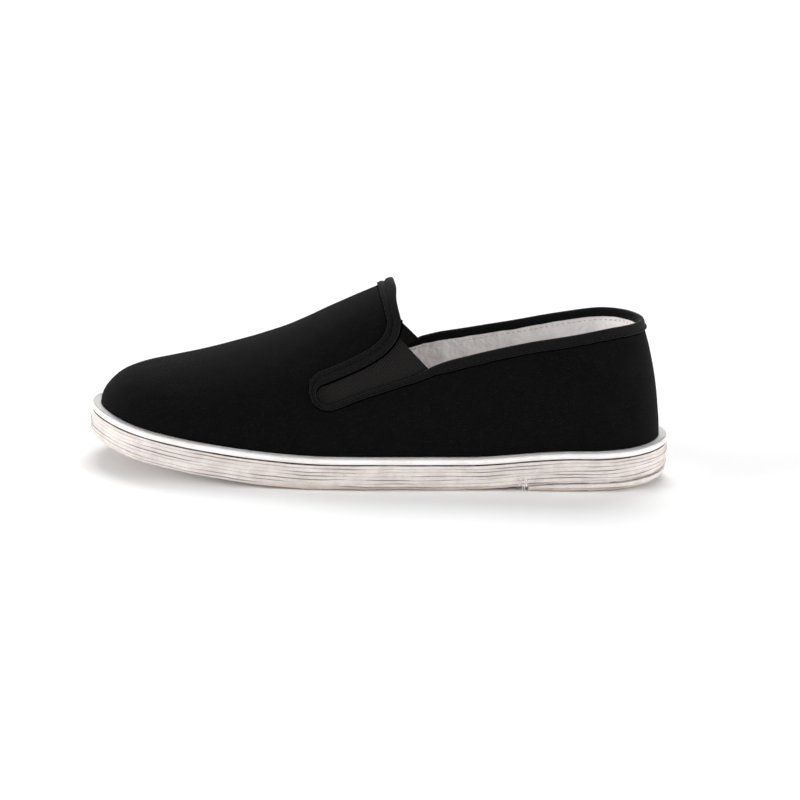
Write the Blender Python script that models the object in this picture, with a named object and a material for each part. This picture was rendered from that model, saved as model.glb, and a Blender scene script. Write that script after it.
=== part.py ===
"""A man's black cotton slip-on shoe with elastic gores, on a sole of stacked cloth plies.

Metres, +Z up. The toe points to -X, and the outer side of this left shoe is at -Y.
The origin is on the floor, under the middle of the sole's length and width.
"""

import math

import bmesh
import bpy
import numpy as np

# Sole
SOLE_LENGTH = 0.276
SOLE_MARGIN = 0.0040  # the sole's edge past the foot of the upper
TOP_PLY_THICKNESS = 0.0026  # the uppermost ply, bound in new white cloth
TOP_PLY_LIP = 0.0005  # its edge past the plies below
PLY_THICKNESS = 0.00145
PLY_SEAM = 0.0003  # height of the groove between two plies
PLY_COUNT = 7
HEEL_PLY_COUNT = 2
PLY_EDGE_ROUND = 0.0005  # how far a ply's edge crowns outwards
PLY_GROOVE = 0.0009  # depth of the groove between pressed plies
SEAT_GAP = 0.0003  # between pieces that lie on each other
TOE_SPRING = 0.0115
TOE_SPRING_RUN = 0.110
TOE_SPRING_POWER = 1.6
HEEL_CURL = 0.0030  # how far the very back of the sole turns up
HEEL_CURL_RUN = 0.045
HEEL_BREAST_SHARE = 0.745  # front edge of the heel plies, as a share of the sole's length
HEEL_RISE_START_SHARE = 0.630  # where the main stack starts to climb onto the heel plies
HEEL_RISE_END_SHARE = 0.830  # where the heel plies reach their full thickness

# Last
BALL_WIDTH = 0.0900  # at the foot of the upper
INSTEP_HEIGHT = 0.0750  # ridge above the foot bed at the throat
HEEL_TOP_HEIGHT = 0.0760  # top of the back seam above the floor
HEEL_LEAN = 0.0120  # how far the back seam leans forwards at its top
HEEL_LEAN_STRAIGHT = 0.35  # share of the lean that grows evenly with height
HEEL_LEAN_START_SHARE = 0.58
BELLY = 0.030  # how far the side walls belly out, as a share of the half width
BELLY_HEIGHT = 0.0110
RIDGE_POWER = 2.0  # roundness of the arch along its height
BREADTH_POWER = 2.3  # roundness of the arch across its width

# Upper
CLOTH_WALL = 0.0018
THROAT_SHARE = 0.500  # middle of the throat edge, along the last
THROAT_CORNER_SHARE = 0.526
THROAT_CORNER_HEIGHT = 0.0685
THROAT_ROUND_SHARE = 0.74  # where the rounding of the tongue's corner meets the throat edge
QUARTER_CORNER_SHARE = 0.572  # front end of the quarters' top line
GORE_TIP_SHARE = 0.395
GORE_TIP_HEIGHT = 0.0449
GORE_TIP_RADIUS = 0.0046
GORE_THICKNESS = 0.0011
GORE_SEAM_MARGIN = 0.0040  # the gore's edge tucked under the cloth
HEM_WIDTH = 0.0048
HEM_THICKNESS = 0.0011
BINDING_WIDTH = 0.0037
BINDING_THICKNESS = 0.0010
INSOLE_THICKNESS = 0.0016
INSOLE_CLEARANCE = 0.0006

# A gore's slot: how its two edges leave the round tip and arrive at the mouth
SLOT_HANDLE_SHARE = 0.42
SLOT_LOWER_PULL = 0.40
SLOT_UPPER_PULL = 0.75
SLOT_MOUTH_ANGLE = math.radians(26)
SLOT_THROAT_TURN = math.radians(14)
CUTTER_RISE = 0.004  # how far the slot's cutter stands out of the cloth, and how deep it goes
CUTTER_DEPTH = 0.006
CUTTER_LOWER_REACH = (0.0040, 0.0060)  # how far it runs out past the mouth, along and up
CUTTER_UPPER_REACH = (0.0035, 0.0035)

# How the cloth's columns stand: their feet lie ahead of their tops, and they are seen from a low spine
THROAT_FOOT_LAG = 0.115
QUARTER_FOOT_LAG = 0.030
SPINE_START_SHARE = 0.17
SPINE_END_SHARE = 0.88
SPINE_CLEARANCE = 0.003
NORMAL_REACH = 0.0004

# Mesh density
SOLE_STATIONS = 34  # along each side of a ply
THROAT_COLUMNS = 14
MOUTH_COLUMNS = 2
QUARTER_COLUMNS = 14
SLOT_STATIONS = 18  # along each edge of a gore's slot
ROW_SHARES = (0.0, 0.05, 0.12, 0.21, 0.32, 0.44, 0.57, 0.71, 0.86, 1.0)

# The last by cross-sections: place along it, half widths as shares of half the ball width,
# sideways swing of the middle line as a share of the ball width, height as a share of the instep's.
# Past the throat the height is that of the closed last, which the top line cuts through.
SECTION_COLUMNS = ("place", "outer", "inner", "swing", "height")
SECTIONS = (
    (0.00, 0.000, 0.000, 0.045, 0.000),
    (0.02, 0.440, 0.440, 0.043, 0.160),
    (0.05, 0.690, 0.670, 0.040, 0.248),
    (0.10, 0.880, 0.840, 0.034, 0.329),
    (0.17, 0.975, 0.940, 0.024, 0.425),
    (0.25, 1.010, 0.990, 0.013, 0.543),
    (0.33, 1.010, 0.985, 0.004, 0.675),
    (0.41, 0.990, 0.925, 0.000, 0.832),
    (0.49, 0.945, 0.845, 0.000, 0.975),
    (0.54, 0.910, 0.795, 0.000, 1.070),
    (0.60, 0.865, 0.745, 0.000, 1.200),
    (0.70, 0.805, 0.695, 0.000, 1.390),
    (0.80, 0.765, 0.668, 0.000, 1.520),
    (0.90, 0.695, 0.638, 0.000, 1.600),
    (0.96, 0.520, 0.495, 0.000, 1.640),
    (1.00, 0.000, 0.000, 0.000, 1.670),
)

# The quarters' top line, from their front corner to the back seam: height above the floor
# as a share of the back seam's, on the outer and the inner side.
TOP_LINE_COLUMNS = ("place", "outer", "inner")
TOP_LINE = (
    (0.00, 0.752, 0.748),
    (0.25, 0.846, 0.824),
    (0.48, 0.914, 0.890),
    (0.70, 0.965, 0.948),
    (0.87, 0.998, 0.990),
    (1.00, 1.000, 1.000),
)

OUTER, INNER = "outer", "inner"
SIDE_SIGN = {OUTER: -1.0, INNER: 1.0}

LAST_LENGTH = SOLE_LENGTH - 2 * (SOLE_MARGIN + TOP_PLY_LIP)
LAST_TOE = -LAST_LENGTH / 2
LAST_HEEL = LAST_LENGTH / 2
PLY_PITCH = PLY_THICKNESS + PLY_SEAM
PRESSED_HEIGHT = PLY_COUNT * PLY_PITCH - PLY_SEAM
HEEL_PRESSED_HEIGHT = HEEL_PLY_COUNT * PLY_PITCH - PLY_SEAM
STACK_HEIGHT = TOP_PLY_THICKNESS + SEAT_GAP + PRESSED_HEIGHT
HEEL_STACK_HEIGHT = SEAT_GAP + HEEL_PRESSED_HEIGHT


def smooth_step(t):
    t = np.clip(t, 0.0, 1.0)
    return t * t * (3 - 2 * t)


def column(table, names, name):
    return np.array([row[names.index(name)] for row in table])


def cubic(places, values):
    """A smooth curve through the given values, as a function."""
    count = len(places)
    step = np.diff(places)
    slope = np.diff(values) / step
    system = np.eye(count)
    bend = np.zeros(count)
    for i in range(1, count - 1):
        system[i, i - 1 : i + 2] = step[i - 1], 2 * (step[i - 1] + step[i]), step[i]
        bend[i] = 6 * (slope[i] - slope[i - 1])
    bend = np.linalg.solve(system, bend)

    def at(place):
        place = np.clip(place, places[0], places[-1])
        i = np.clip(np.searchsorted(places, place) - 1, 0, count - 2)
        done, left, span = place - places[i], places[i + 1] - place, step[i]
        curved = (bend[i] * left**3 + bend[i + 1] * done**3) / (6 * span)
        straight = (values[i] / span - bend[i] * span / 6) * left
        return curved + straight + (values[i + 1] / span - bend[i + 1] * span / 6) * done

    return at


def turn_at(share):
    """Angle round the last for a share of its length, so that toe and heel close round."""
    return np.arccos(np.clip(1 - 2 * share, -1, 1))


def section_curve(name):
    places = turn_at(column(SECTIONS, SECTION_COLUMNS, "place"))
    return cubic(places, column(SECTIONS, SECTION_COLUMNS, name))


HALF_WIDTH = {side: section_curve(side) for side in (OUTER, INNER)}
RIDGE_HEIGHT = section_curve("height")
SWING = section_curve("swing")
TOP_LINE_HEIGHT = {
    side: cubic(column(TOP_LINE, TOP_LINE_COLUMNS, "place"), column(TOP_LINE, TOP_LINE_COLUMNS, side))
    for side in (OUTER, INNER)
}


def along_last(turn):
    return LAST_TOE + LAST_LENGTH * (1 - np.cos(turn)) / 2


def outline_of_last(turn):
    """Point of the closed foot line in plan: 0 toe, pi heel along the outer side, back along the inner."""
    turn = np.mod(turn, 2 * math.pi)
    outer = turn <= math.pi
    half_turn = np.where(outer, turn, 2 * math.pi - turn)
    width = np.where(outer, -HALF_WIDTH[OUTER](half_turn), HALF_WIDTH[INNER](half_turn))
    y = width * BALL_WIDTH / 2 + SWING(half_turn) * BALL_WIDTH
    return np.stack([along_last(half_turn), y], axis=-1)


def outline(turn, margin):
    """The foot line moved outwards by the margin, square to itself."""
    nudge = 1e-4
    ahead = outline_of_last(turn + nudge) - outline_of_last(turn - nudge)
    ahead /= np.linalg.norm(ahead, axis=-1, keepdims=True)
    outwards = np.stack([ahead[..., 1], -ahead[..., 0]], axis=-1)
    return outline_of_last(turn) + outwards * margin


def middle_shift():
    """Centres the sole's outline on the X axis."""
    y = outline(np.linspace(0, 2 * math.pi, 721), SOLE_MARGIN)[:, 1]
    return (y.min() + y.max()) / 2


MIDDLE_SHIFT = middle_shift()


def middle_line(x):
    share = (x - LAST_TOE) / LAST_LENGTH
    return SWING(turn_at(share)) * BALL_WIDTH - MIDDLE_SHIFT


def heel_rise(x):
    """How far the main stack has climbed onto the heel plies, as a share of their thickness."""
    start = SOLE_LENGTH * (HEEL_RISE_START_SHARE - 0.5)
    end = SOLE_LENGTH * (HEEL_RISE_END_SHARE - 0.5)
    return smooth_step((x - start) / (end - start))


def bed_height(x):
    """Top of the sole above the floor: flat under the ball, with toe spring, heel rise and heel curl."""
    toe = np.clip(1 - (x + SOLE_LENGTH / 2) / TOE_SPRING_RUN, 0, None)
    back = np.clip(1 - (SOLE_LENGTH / 2 - x) / HEEL_CURL_RUN, 0, None)
    springs = TOE_SPRING * toe**TOE_SPRING_POWER + HEEL_CURL * back**2
    return STACK_HEIGHT + HEEL_STACK_HEIGHT * heel_rise(x) + springs


HEEL_SEAT_HEIGHT = float(bed_height(LAST_HEEL))


def lean_at(z):
    climb = np.clip((z - HEEL_SEAT_HEIGHT) / (HEEL_TOP_HEIGHT - HEEL_SEAT_HEIGHT), 0, 1.4)
    return HEEL_LEAN * (HEEL_LEAN_STRAIGHT * climb + (1 - HEEL_LEAN_STRAIGHT) * climb**2)


def lean_share(upright_x):
    start = LAST_TOE + LAST_LENGTH * HEEL_LEAN_START_SHARE
    return smooth_step((upright_x - start) / (LAST_HEEL - start))


def leaned(upright_x, z):
    return upright_x - lean_at(z) * lean_share(upright_x)


def upright(x, z):
    """The place along the last before its back leaned forwards."""
    found = x
    for _ in range(8):
        found = x + lean_at(z) * lean_share(found)
    return found


def half_breadth(x, z, side):
    """Half breadth of the last at a place and a height, on one side of the middle line."""
    place = upright(x, z)
    turn = turn_at((place - LAST_TOE) / LAST_LENGTH)
    climb = np.clip(z - bed_height(x), 0, None)
    ridge = np.maximum(RIDGE_HEIGHT(turn) * INSTEP_HEIGHT, 1e-9)
    belly = 1 + BELLY * climb / BELLY_HEIGHT * np.exp(1 - climb / BELLY_HEIGHT)
    arch = (1 - np.clip(climb / ridge, 0, 1) ** RIDGE_POWER) ** (1 / BREADTH_POWER)
    return HALF_WIDTH[side](turn) * BALL_WIDTH / 2 * belly * arch


def outside_by(points):
    """Below zero inside the last, above zero outside it."""
    x, y, z = points[..., 0], points[..., 1], points[..., 2]
    across = y - middle_line(x)
    breadth = np.where(across < 0, half_breadth(x, z, OUTER), half_breadth(x, z, INNER))
    place = upright(x, z)
    turn = turn_at((place - LAST_TOE) / LAST_LENGTH)
    too_high = np.clip(z - bed_height(x) - RIDGE_HEIGHT(turn) * INSTEP_HEIGHT, 0, None)
    too_long = np.clip(np.abs(place) - LAST_LENGTH / 2, 0, None)
    return np.abs(across) - breadth + too_high + too_long


def side_point(x, z, side):
    """The point of one side of the last that shows at a place and a height in the side view."""
    y = middle_line(x) + SIDE_SIGN[side] * half_breadth(x, z, side)
    return np.stack([x, y, np.broadcast_to(z, np.shape(x))], axis=-1)


def spine(points):
    """A point low inside the last from which the surface is seen through the given point."""
    x = np.clip(points[..., 0], place_at(SPINE_START_SHARE), place_at(SPINE_END_SHARE))
    return np.stack([x, middle_line(x), bed_height(x) + SPINE_CLEARANCE], axis=-1)


def cast(origin, through):
    """Where the ray from origin through the point meets the last's surface."""
    ray = through - origin
    ray = ray / np.linalg.norm(ray, axis=-1, keepdims=True)
    near = np.zeros(ray.shape[:-1])
    far = np.full(ray.shape[:-1], LAST_LENGTH)
    for _ in range(44):
        middle = (near + far) / 2
        inside = outside_by(origin + ray * middle[..., None]) < 0
        near = np.where(inside, middle, near)
        far = np.where(inside, far, middle)
    return origin + ray * near[..., None]


def onto_surface(points):
    return cast(spine(points), points)


def surface_normal(points):
    """Outward normals, from four neighbours of each point."""
    origin = spine(points)
    ray = points - origin
    ray = ray / np.linalg.norm(ray, axis=-1, keepdims=True)
    first = np.cross(ray, [0.0, 0.0, 1.0])
    first /= np.linalg.norm(first, axis=-1, keepdims=True)
    second = np.cross(first, ray)
    across = cast(origin, points + first * NORMAL_REACH) - cast(origin, points - first * NORMAL_REACH)
    upwards = cast(origin, points + second * NORMAL_REACH) - cast(origin, points - second * NORMAL_REACH)
    normal = np.cross(across, upwards)
    normal /= np.linalg.norm(normal, axis=-1, keepdims=True)
    facing = np.sign(np.sum(normal * ray, axis=-1, keepdims=True))
    return normal * facing


def place_at(share):
    return LAST_TOE + LAST_LENGTH * share


def throat_point(share, side):
    """Point of the throat edge: 0 at its middle, on the ridge, 1 at its corner."""
    share = np.asarray(share, float)
    x = place_at(THROAT_SHARE + (THROAT_CORNER_SHARE - THROAT_SHARE) * share**2)
    floor = np.stack([x, middle_line(x), bed_height(x)], axis=-1)
    corner_x = place_at(THROAT_CORNER_SHARE)
    corner = side_point(np.array(corner_x), THROAT_CORNER_HEIGHT, side)
    climb = math.atan2(THROAT_CORNER_HEIGHT - bed_height(corner_x), abs(corner[1] - middle_line(corner_x)))
    angle = math.pi / 2 - (math.pi / 2 - climb) * share
    ray = np.stack([0 * angle, SIDE_SIGN[side] * np.cos(angle), np.sin(angle)], axis=-1)
    return cast(floor, floor + ray)


def top_line_point(share, side):
    """Point of a quarter's top line: 0 at its front corner, 1 at the back seam."""
    share = np.asarray(share, float)
    corner_turn = turn_at(QUARTER_CORNER_SHARE)
    turn = corner_turn + (math.pi - corner_turn) * share
    run = (along_last(turn) - place_at(QUARTER_CORNER_SHARE)) / (LAST_HEEL - place_at(QUARTER_CORNER_SHARE))
    z = TOP_LINE_HEIGHT[side](run) * HEEL_TOP_HEIGHT
    return side_point(leaned(along_last(turn), z), z, side)


def quarter_corner(side):
    return top_line_point(0.0, side)


def mouth_point(share, side):
    """Point of the gore's free edge, from the throat corner to the quarter's front corner."""
    start = throat_point(1.0, side)
    end = quarter_corner(side)
    x = start[0] + (end[0] - start[0]) * np.asarray(share, float)
    z = start[2] + (end[2] - start[2]) * np.asarray(share, float)
    return side_point(x, z, side)


def resampled(points, shares):
    """Points at the given shares of a path's length."""
    steps = np.linalg.norm(np.diff(points, axis=0), axis=-1)
    run = np.concatenate([[0], np.cumsum(steps)])
    run /= run[-1]
    return np.stack([np.interp(shares, run, points[:, k]) for k in range(points.shape[1])], axis=-1)


def wall_column(turn, top, side):
    """One line of the upper's surface, from the foot line up to its top edge."""
    foot = np.append(outline_of_last(turn if side == OUTER else -turn), 0.0)
    foot[1] -= MIDDLE_SHIFT
    foot[2] = bed_height(foot[0]) + SEAT_GAP
    share = np.linspace(0, 1, 61)[:, None]
    chord = foot + (top - foot) * share
    line = cast(spine(chord), chord)
    line[0] = foot
    line[-1] = top
    return resampled(line, ROW_SHARES)


def wall_grid():
    """The upper's outer surface: a closed ring of columns from toe round the heel, each with its rows."""
    corner_turn = turn_at(THROAT_CORNER_SHARE - THROAT_FOOT_LAG)
    quarter_turn = turn_at(QUARTER_CORNER_SHARE - QUARTER_FOOT_LAG)
    columns = {OUTER: [], INNER: []}
    for side in (OUTER, INNER):
        for k in range(THROAT_COLUMNS):
            share = k / THROAT_COLUMNS
            columns[side].append(wall_column(corner_turn * share, throat_point(share, side), side))
        for k in range(MOUTH_COLUMNS):
            share = k / MOUTH_COLUMNS
            turn = corner_turn + (quarter_turn - corner_turn) * share
            columns[side].append(wall_column(turn, mouth_point(share, side), side))
        for k in range(QUARTER_COLUMNS + 1):
            share = k / QUARTER_COLUMNS
            turn = quarter_turn + (math.pi - quarter_turn) * share
            columns[side].append(wall_column(turn, top_line_point(share, side), side))
    inner_back = columns[INNER][-2:0:-1]
    return np.array(columns[OUTER] + inner_back)


def grid_normals(grid):
    """Outward normals of the ring of columns. The lowest row looks straight out, for an even foot."""
    round_it = np.roll(grid, -1, axis=0) - np.roll(grid, 1, axis=0)
    up = np.gradient(grid, axis=1)
    normals = np.cross(round_it, up)
    normals[:, 0, 2] = 0
    return normals / np.linalg.norm(normals, axis=-1, keepdims=True)


def new_object(name, vertices, faces, material):
    """A closed solid from its corners and faces, with normals out and round shading."""
    mesh = bpy.data.meshes.new(name)
    shape = bmesh.new()
    corners = [shape.verts.new(v) for v in vertices]
    for face in faces:
        shape.faces.new([corners[i] for i in face])
    bmesh.ops.remove_doubles(shape, verts=shape.verts, dist=1e-6)
    bmesh.ops.dissolve_degenerate(shape, edges=shape.edges, dist=1e-6)
    bmesh.ops.recalc_face_normals(shape, faces=shape.faces)
    shape.to_mesh(mesh)
    shape.free()
    mesh.shade_smooth()
    mesh.set_sharp_from_angle(angle=math.radians(50))
    obj = bpy.data.objects.new(name, mesh)
    obj.data.materials.append(material)
    bpy.context.scene.collection.objects.link(obj)
    return obj


def ring_faces(first, second, count, closed=True):
    """Quads between two rows of corners that start at the given numbers."""
    last = count if closed else count - 1
    return [(first + i, first + (i + 1) % count, second + (i + 1) % count, second + i) for i in range(last)]


def ply_turns():
    """Stations round the outline, closer together at the waist than even turns would be."""
    even = np.linspace(0, 2 * math.pi, 2 * SOLE_STATIONS, endpoint=False)
    return even + 0.15 * np.sin(2 * even)


def heel_ply_turns():
    """The stretch of the outline round the heel, from breast to breast."""
    breast = turn_at((HEEL_BREAST_SHARE * SOLE_LENGTH - SOLE_LENGTH / 2 - LAST_TOE) / LAST_LENGTH)
    return np.linspace(breast, 2 * math.pi - breast, SOLE_STATIONS - 2)


def edge_profile(depth, thickness, count, margin):
    """Depth under the foot bed and margin of each ring down the crowned edges of pressed plies."""
    profile = []
    for k in range(count):
        top = depth + k * (thickness + PLY_SEAM)
        if k:
            profile.append((top - PLY_SEAM / 2, margin - PLY_GROOVE))
        profile.append((top, margin - PLY_EDGE_ROUND))
        profile.append((top + thickness / 2, margin))
        profile.append((top + thickness, margin - PLY_EDGE_ROUND))
    return profile


def slab(name, turns, profile, material):
    """A flat piece bent to the foot bed, with the given edge profile from its upper face to its lower.

    What lies under the main stack thins towards the front, so that it stays level on the floor.
    """
    rings = []
    for below, margin in profile:
        plan = outline(turns, margin)
        plan[:, 1] -= MIDDLE_SHIFT
        past_stack = max(below - STACK_HEIGHT - SEAT_GAP, 0.0)
        thinned = HEEL_STACK_HEIGHT * (1 - heel_rise(plan[:, 0])) * past_stack / HEEL_PRESSED_HEIGHT
        rings.append(np.column_stack([plan, bed_height(plan[:, 0]) - below + thinned]))
    count = len(turns)
    whole = turns[0] == 0
    faces = []
    for level in range(len(rings) - 1):
        faces += ring_faces(level * count, (level + 1) * count, count)
    for level in (0, len(rings) - 1):
        faces += strip_faces(level * count, count, whole)
    return new_object(name, np.concatenate(rings), faces, material)


def strip_faces(start, count, whole):
    """Strips across a ply's flat side. A whole outline has one corner at the toe, a heel's has a breast edge."""
    pairs = []
    for i in range(count // 2):
        left = start + i
        right = start + ((count - i) % count if whole else count - 1 - i)
        pairs.append((left, right))
    faces = []
    for (left, right), (next_left, next_right) in zip(pairs, pairs[1:]):
        if left == right:
            faces.append((left, next_left, next_right))
        else:
            faces.append((left, next_left, next_right, right))
    if whole:
        left, right = pairs[-1]
        faces.append((left, left + 1, right))
    return faces


def add_sole(materials):
    turns = ply_turns()
    lip = SOLE_MARGIN + TOP_PLY_LIP
    slab("top_ply", turns, edge_profile(0.0, TOP_PLY_THICKNESS, 1, lip), materials["white_cotton"])
    below = TOP_PLY_THICKNESS + SEAT_GAP
    stack = edge_profile(below, PLY_THICKNESS, PLY_COUNT, SOLE_MARGIN)
    slab("sole_stack", turns, stack, materials["ply_cloth"])
    lift = edge_profile(STACK_HEIGHT + SEAT_GAP, PLY_THICKNESS, HEEL_PLY_COUNT, SOLE_MARGIN)
    slab("heel_lift", heel_ply_turns(), lift, materials["ply_cloth"])


def add_insole(material):
    """A thin cotton sock on the top ply, inside the upper's foot."""
    margin = -(CLOTH_WALL + INSOLE_CLEARANCE)
    profile = edge_profile(-(SEAT_GAP + INSOLE_THICKNESS), INSOLE_THICKNESS, 1, margin)
    slab("insole", ply_turns(), profile, material)


def add_upper(grid, material):
    """The cloth upper: one hollow wall, open underneath and at the collar, with a slot for each gore."""
    columns, rows = grid.shape[:2]
    inner = grid - grid_normals(grid) * CLOTH_WALL
    inner[:, 0, 2] = bed_height(inner[:, 0, 0]) + SEAT_GAP
    vertices = np.concatenate([grid.reshape(-1, 3), inner.reshape(-1, 3)])

    def number(i, j, layer):
        return layer * columns * rows + (i % columns) * rows + j

    faces = []
    for i in range(columns):
        for j in range(rows - 1):
            for layer in (0, 1):
                corners = ((i, j), (i + 1, j), (i + 1, j + 1), (i, j + 1))
                faces.append([number(a, b, layer) for a, b in corners])
        for j in (0, rows - 1):
            faces.append([number(i, j, 0), number(i + 1, j, 0), number(i + 1, j, 1), number(i, j, 1)])
    upper = new_object("upper", vertices, faces, material)
    cut = upper.modifiers.new("gore_slots", "BOOLEAN")
    cut.operation = "DIFFERENCE"
    outer_vertices, outer_faces = gore_patch(OUTER, 0.0, CUTTER_RISE, -CUTTER_DEPTH, past_mouth=True)
    inner_vertices, inner_faces = gore_patch(INNER, 0.0, CUTTER_RISE, -CUTTER_DEPTH, past_mouth=True)
    shifted = [[i + len(outer_vertices) for i in face] for face in inner_faces]
    vertices = np.concatenate([outer_vertices, inner_vertices])
    cut.object = new_object("gore_slot_cutters", vertices, outer_faces + shifted, material)
    cut.object.hide_render = True
    cut.object.display_type = "WIRE"


def bezier(start, start_aim, end_aim, end, count):
    t = np.linspace(0, 1, count)[:, None]
    return (1 - t) ** 3 * start + 3 * (1 - t) ** 2 * t * start_aim + 3 * (1 - t) * t**2 * end_aim + t**3 * end


def slot_edges(side, grow):
    """Lower and upper edge of a gore's slot in the side view, from its round tip to its mouth.

    The upper edge ends by rounding off the tongue's corner, up to the throat edge.
    """
    tip = np.array([place_at(GORE_TIP_SHARE), GORE_TIP_HEIGHT])
    high = throat_point(THROAT_ROUND_SHARE, side)[[0, 2]]
    before = throat_point(THROAT_ROUND_SHARE + 0.04, side)[[0, 2]]
    low = quarter_corner(side)[[0, 2]]
    axis = (throat_point(1.0, side)[[0, 2]] + low) / 2 - tip
    axis /= np.linalg.norm(axis)
    square = np.array([-axis[1], axis[0]])
    throat_angle = math.atan2(*(high - before)[::-1]) - SLOT_THROAT_TURN
    handle = SLOT_HANDLE_SHARE * np.linalg.norm(high - tip)
    ends = {"lower": (low, -1, SLOT_MOUTH_ANGLE, SLOT_LOWER_PULL), "upper": (high, 1, throat_angle, SLOT_UPPER_PULL)}
    edges = {}
    for name, (end, way, end_angle, pull) in ends.items():
        turn = np.linspace(0, math.pi / 2, 9)[:, None]
        arc = tip + GORE_TIP_RADIUS * (-axis * np.cos(turn) + way * square * np.sin(turn))
        arrive = np.array([math.cos(end_angle), math.sin(end_angle)])
        side_line = bezier(arc[-1], arc[-1] + axis * handle, end - arrive * handle * pull, end, 30)
        line = np.concatenate([arc, side_line[1:]])
        ahead = np.gradient(line, axis=0)
        ahead /= np.linalg.norm(ahead, axis=1, keepdims=True)
        line = line + way * grow * np.stack([-ahead[:, 1], ahead[:, 0]], axis=1)
        edges[name] = line
    return edges["lower"], edges["upper"]


def slot_stations(line):
    """Stations along an edge of a slot, closer together round its tip."""
    return resampled(line, np.linspace(0, 1, SLOT_STATIONS) ** 1.3)


def gore_patch(side, grow, outer_rise, inner_rise, past_mouth=False):
    """Corners and faces of a solid between two offsets from the last, in the outline of a gore's slot."""
    lower, upper = slot_edges(side, grow)
    if past_mouth:
        lower, upper = slot_stations(lower), slot_stations(upper)
        lower = np.concatenate([lower, [lower[-1] + CUTTER_LOWER_REACH]])
        upper = np.concatenate([upper, [upper[-1] + CUTTER_UPPER_REACH]])
    else:
        upper = upper[: 1 + np.argmax(upper[:, 1] > THROAT_CORNER_HEIGHT)]
        lower, upper = slot_stations(lower), slot_stations(upper)
    across = np.linspace(0, 1, 6)
    flat = lower[:, None] + (upper - lower)[:, None] * across[None, :, None]
    surface = side_point(flat[..., 0], flat[..., 1], side)
    normals = surface_normal(surface)
    layers = [surface + normals * outer_rise, surface + normals * inner_rise]
    rows, width = surface.shape[:2]

    def number(i, j, layer):
        return layer * rows * width + i * width + j

    faces = []
    for i in range(rows - 1):
        for j in range(width - 1):
            for layer in (0, 1):
                corners = ((i, j), (i + 1, j), (i + 1, j + 1), (i, j + 1))
                faces.append([number(a, b, layer) for a, b in corners])
    rim = [(i, 0) for i in range(rows)] + [(rows - 1, j) for j in range(1, width)]
    rim += [(i, width - 1) for i in range(rows - 2, -1, -1)] + [(0, j) for j in range(width - 2, 0, -1)]
    for (a, b), (c, d) in zip(rim, rim[1:] + rim[:1]):
        faces.append([number(a, b, 0), number(c, d, 0), number(c, d, 1), number(a, b, 1)])
    vertices = np.concatenate([layer.reshape(-1, 3) for layer in layers])
    return vertices, merged_faces(vertices, faces)


def merged_faces(vertices, faces):
    """Faces with corners that coincide made one, and those that lose their area dropped."""
    _, first, same = np.unique(np.round(vertices, 7), axis=0, return_index=True, return_inverse=True)
    same = first[same.reshape(-1)]
    kept = []
    for face in faces:
        corners = []
        for i in (int(same[n]) for n in face):
            if i not in corners:
                corners.append(i)
        if len(corners) > 2:
            kept.append(corners)
    return kept


def collar_loop():
    """The closed line of the cloth's cut edge, from the back seam by the outer side, and its slot tips."""
    line = []
    tips = []
    for side in (OUTER, INNER):
        lower, upper = (slot_stations(edge) for edge in slot_edges(side, 0.0))
        slot = np.concatenate([lower[-1:0:-1], upper])
        top = top_line_point(np.linspace(1, 0, QUARTER_COLUMNS + 1), side)
        below_round = np.arange(THROAT_COLUMNS, -1, -1) / THROAT_COLUMNS
        throat = throat_point(below_round[below_round < THROAT_ROUND_SHARE - 0.03], side)
        half = np.concatenate([top[:-1], side_point(slot[:, 0], slot[:, 1], side), throat])
        tip = len(top) - 1 + len(lower) - 1
        if side == OUTER:
            tips.append(tip)
            line = half
        else:
            tips.append(len(line) - 1 + len(half) - 1 - tip)
            line = np.concatenate([line, half[-2:0:-1]])
    return line, tips


def towards_cloth(line):
    """Directions on the surface, square to the closed cut edge, that point away from the opening."""
    before = line - np.roll(line, 1, axis=0)
    after = np.roll(line, -1, axis=0) - line
    ahead = before / np.linalg.norm(before, axis=1, keepdims=True)
    ahead += after / np.linalg.norm(after, axis=1, keepdims=True)
    across = np.cross(surface_normal(line), ahead)
    across /= np.linalg.norm(across, axis=1, keepdims=True)
    return across if across[0, 2] < 0 else -across


def edging(name, edge, into_cloth, width, thickness, material):
    """A folded strip over the cut edge of the cloth: a flange outside it, turned in over the edge."""
    normals = surface_normal(edge)
    over = -(SEAT_GAP + thickness)
    shape = (
        (width, SEAT_GAP),
        (width, SEAT_GAP + thickness * 0.55),
        (width * 0.72, SEAT_GAP + thickness),
        (width * 0.25, SEAT_GAP + thickness),
        (over * 0.6, SEAT_GAP + thickness * 0.7),
        (over, -CLOTH_WALL * 0.25),
        (over, -CLOTH_WALL),
        (-SEAT_GAP, -CLOTH_WALL),
        (-SEAT_GAP, SEAT_GAP),
        (width * 0.5, SEAT_GAP),
    )
    rings = []
    for inwards, rise in shape:
        foot = edge + into_cloth * inwards
        if inwards > 0:
            foot = onto_surface(foot)
            rings.append(foot + surface_normal(foot) * rise)
        else:
            rings.append(foot + normals * rise)
    rings = np.array(rings)
    corners, stations = rings.shape[:2]
    faces = []
    for i in range(corners):
        following = (i + 1) % corners
        for j in range(stations - 1):
            quad = ((i, j), (following, j), (following, j + 1), (i, j + 1))
            faces.append([a * stations + b for a, b in quad])
    for j in (0, stations - 1):
        flange = [i * stations + j for i in (9, 0, 1, 2, 3)]
        bend = [i * stations + j for i in (9, 3, 4, 8)]
        fold = [i * stations + j for i in (8, 4, 5, 6, 7)]
        faces += [flange, bend, fold]
    return new_object(name, rings.reshape(-1, 3), faces, material)


def shortened(points):
    """A line with half the seat gap taken off each end."""
    points = points.copy()
    for end, inside in ((0, 1), (-1, -2)):
        back = points[inside] - points[end]
        points[end] += back / np.linalg.norm(back) * SEAT_GAP / 2
    return points


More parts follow.
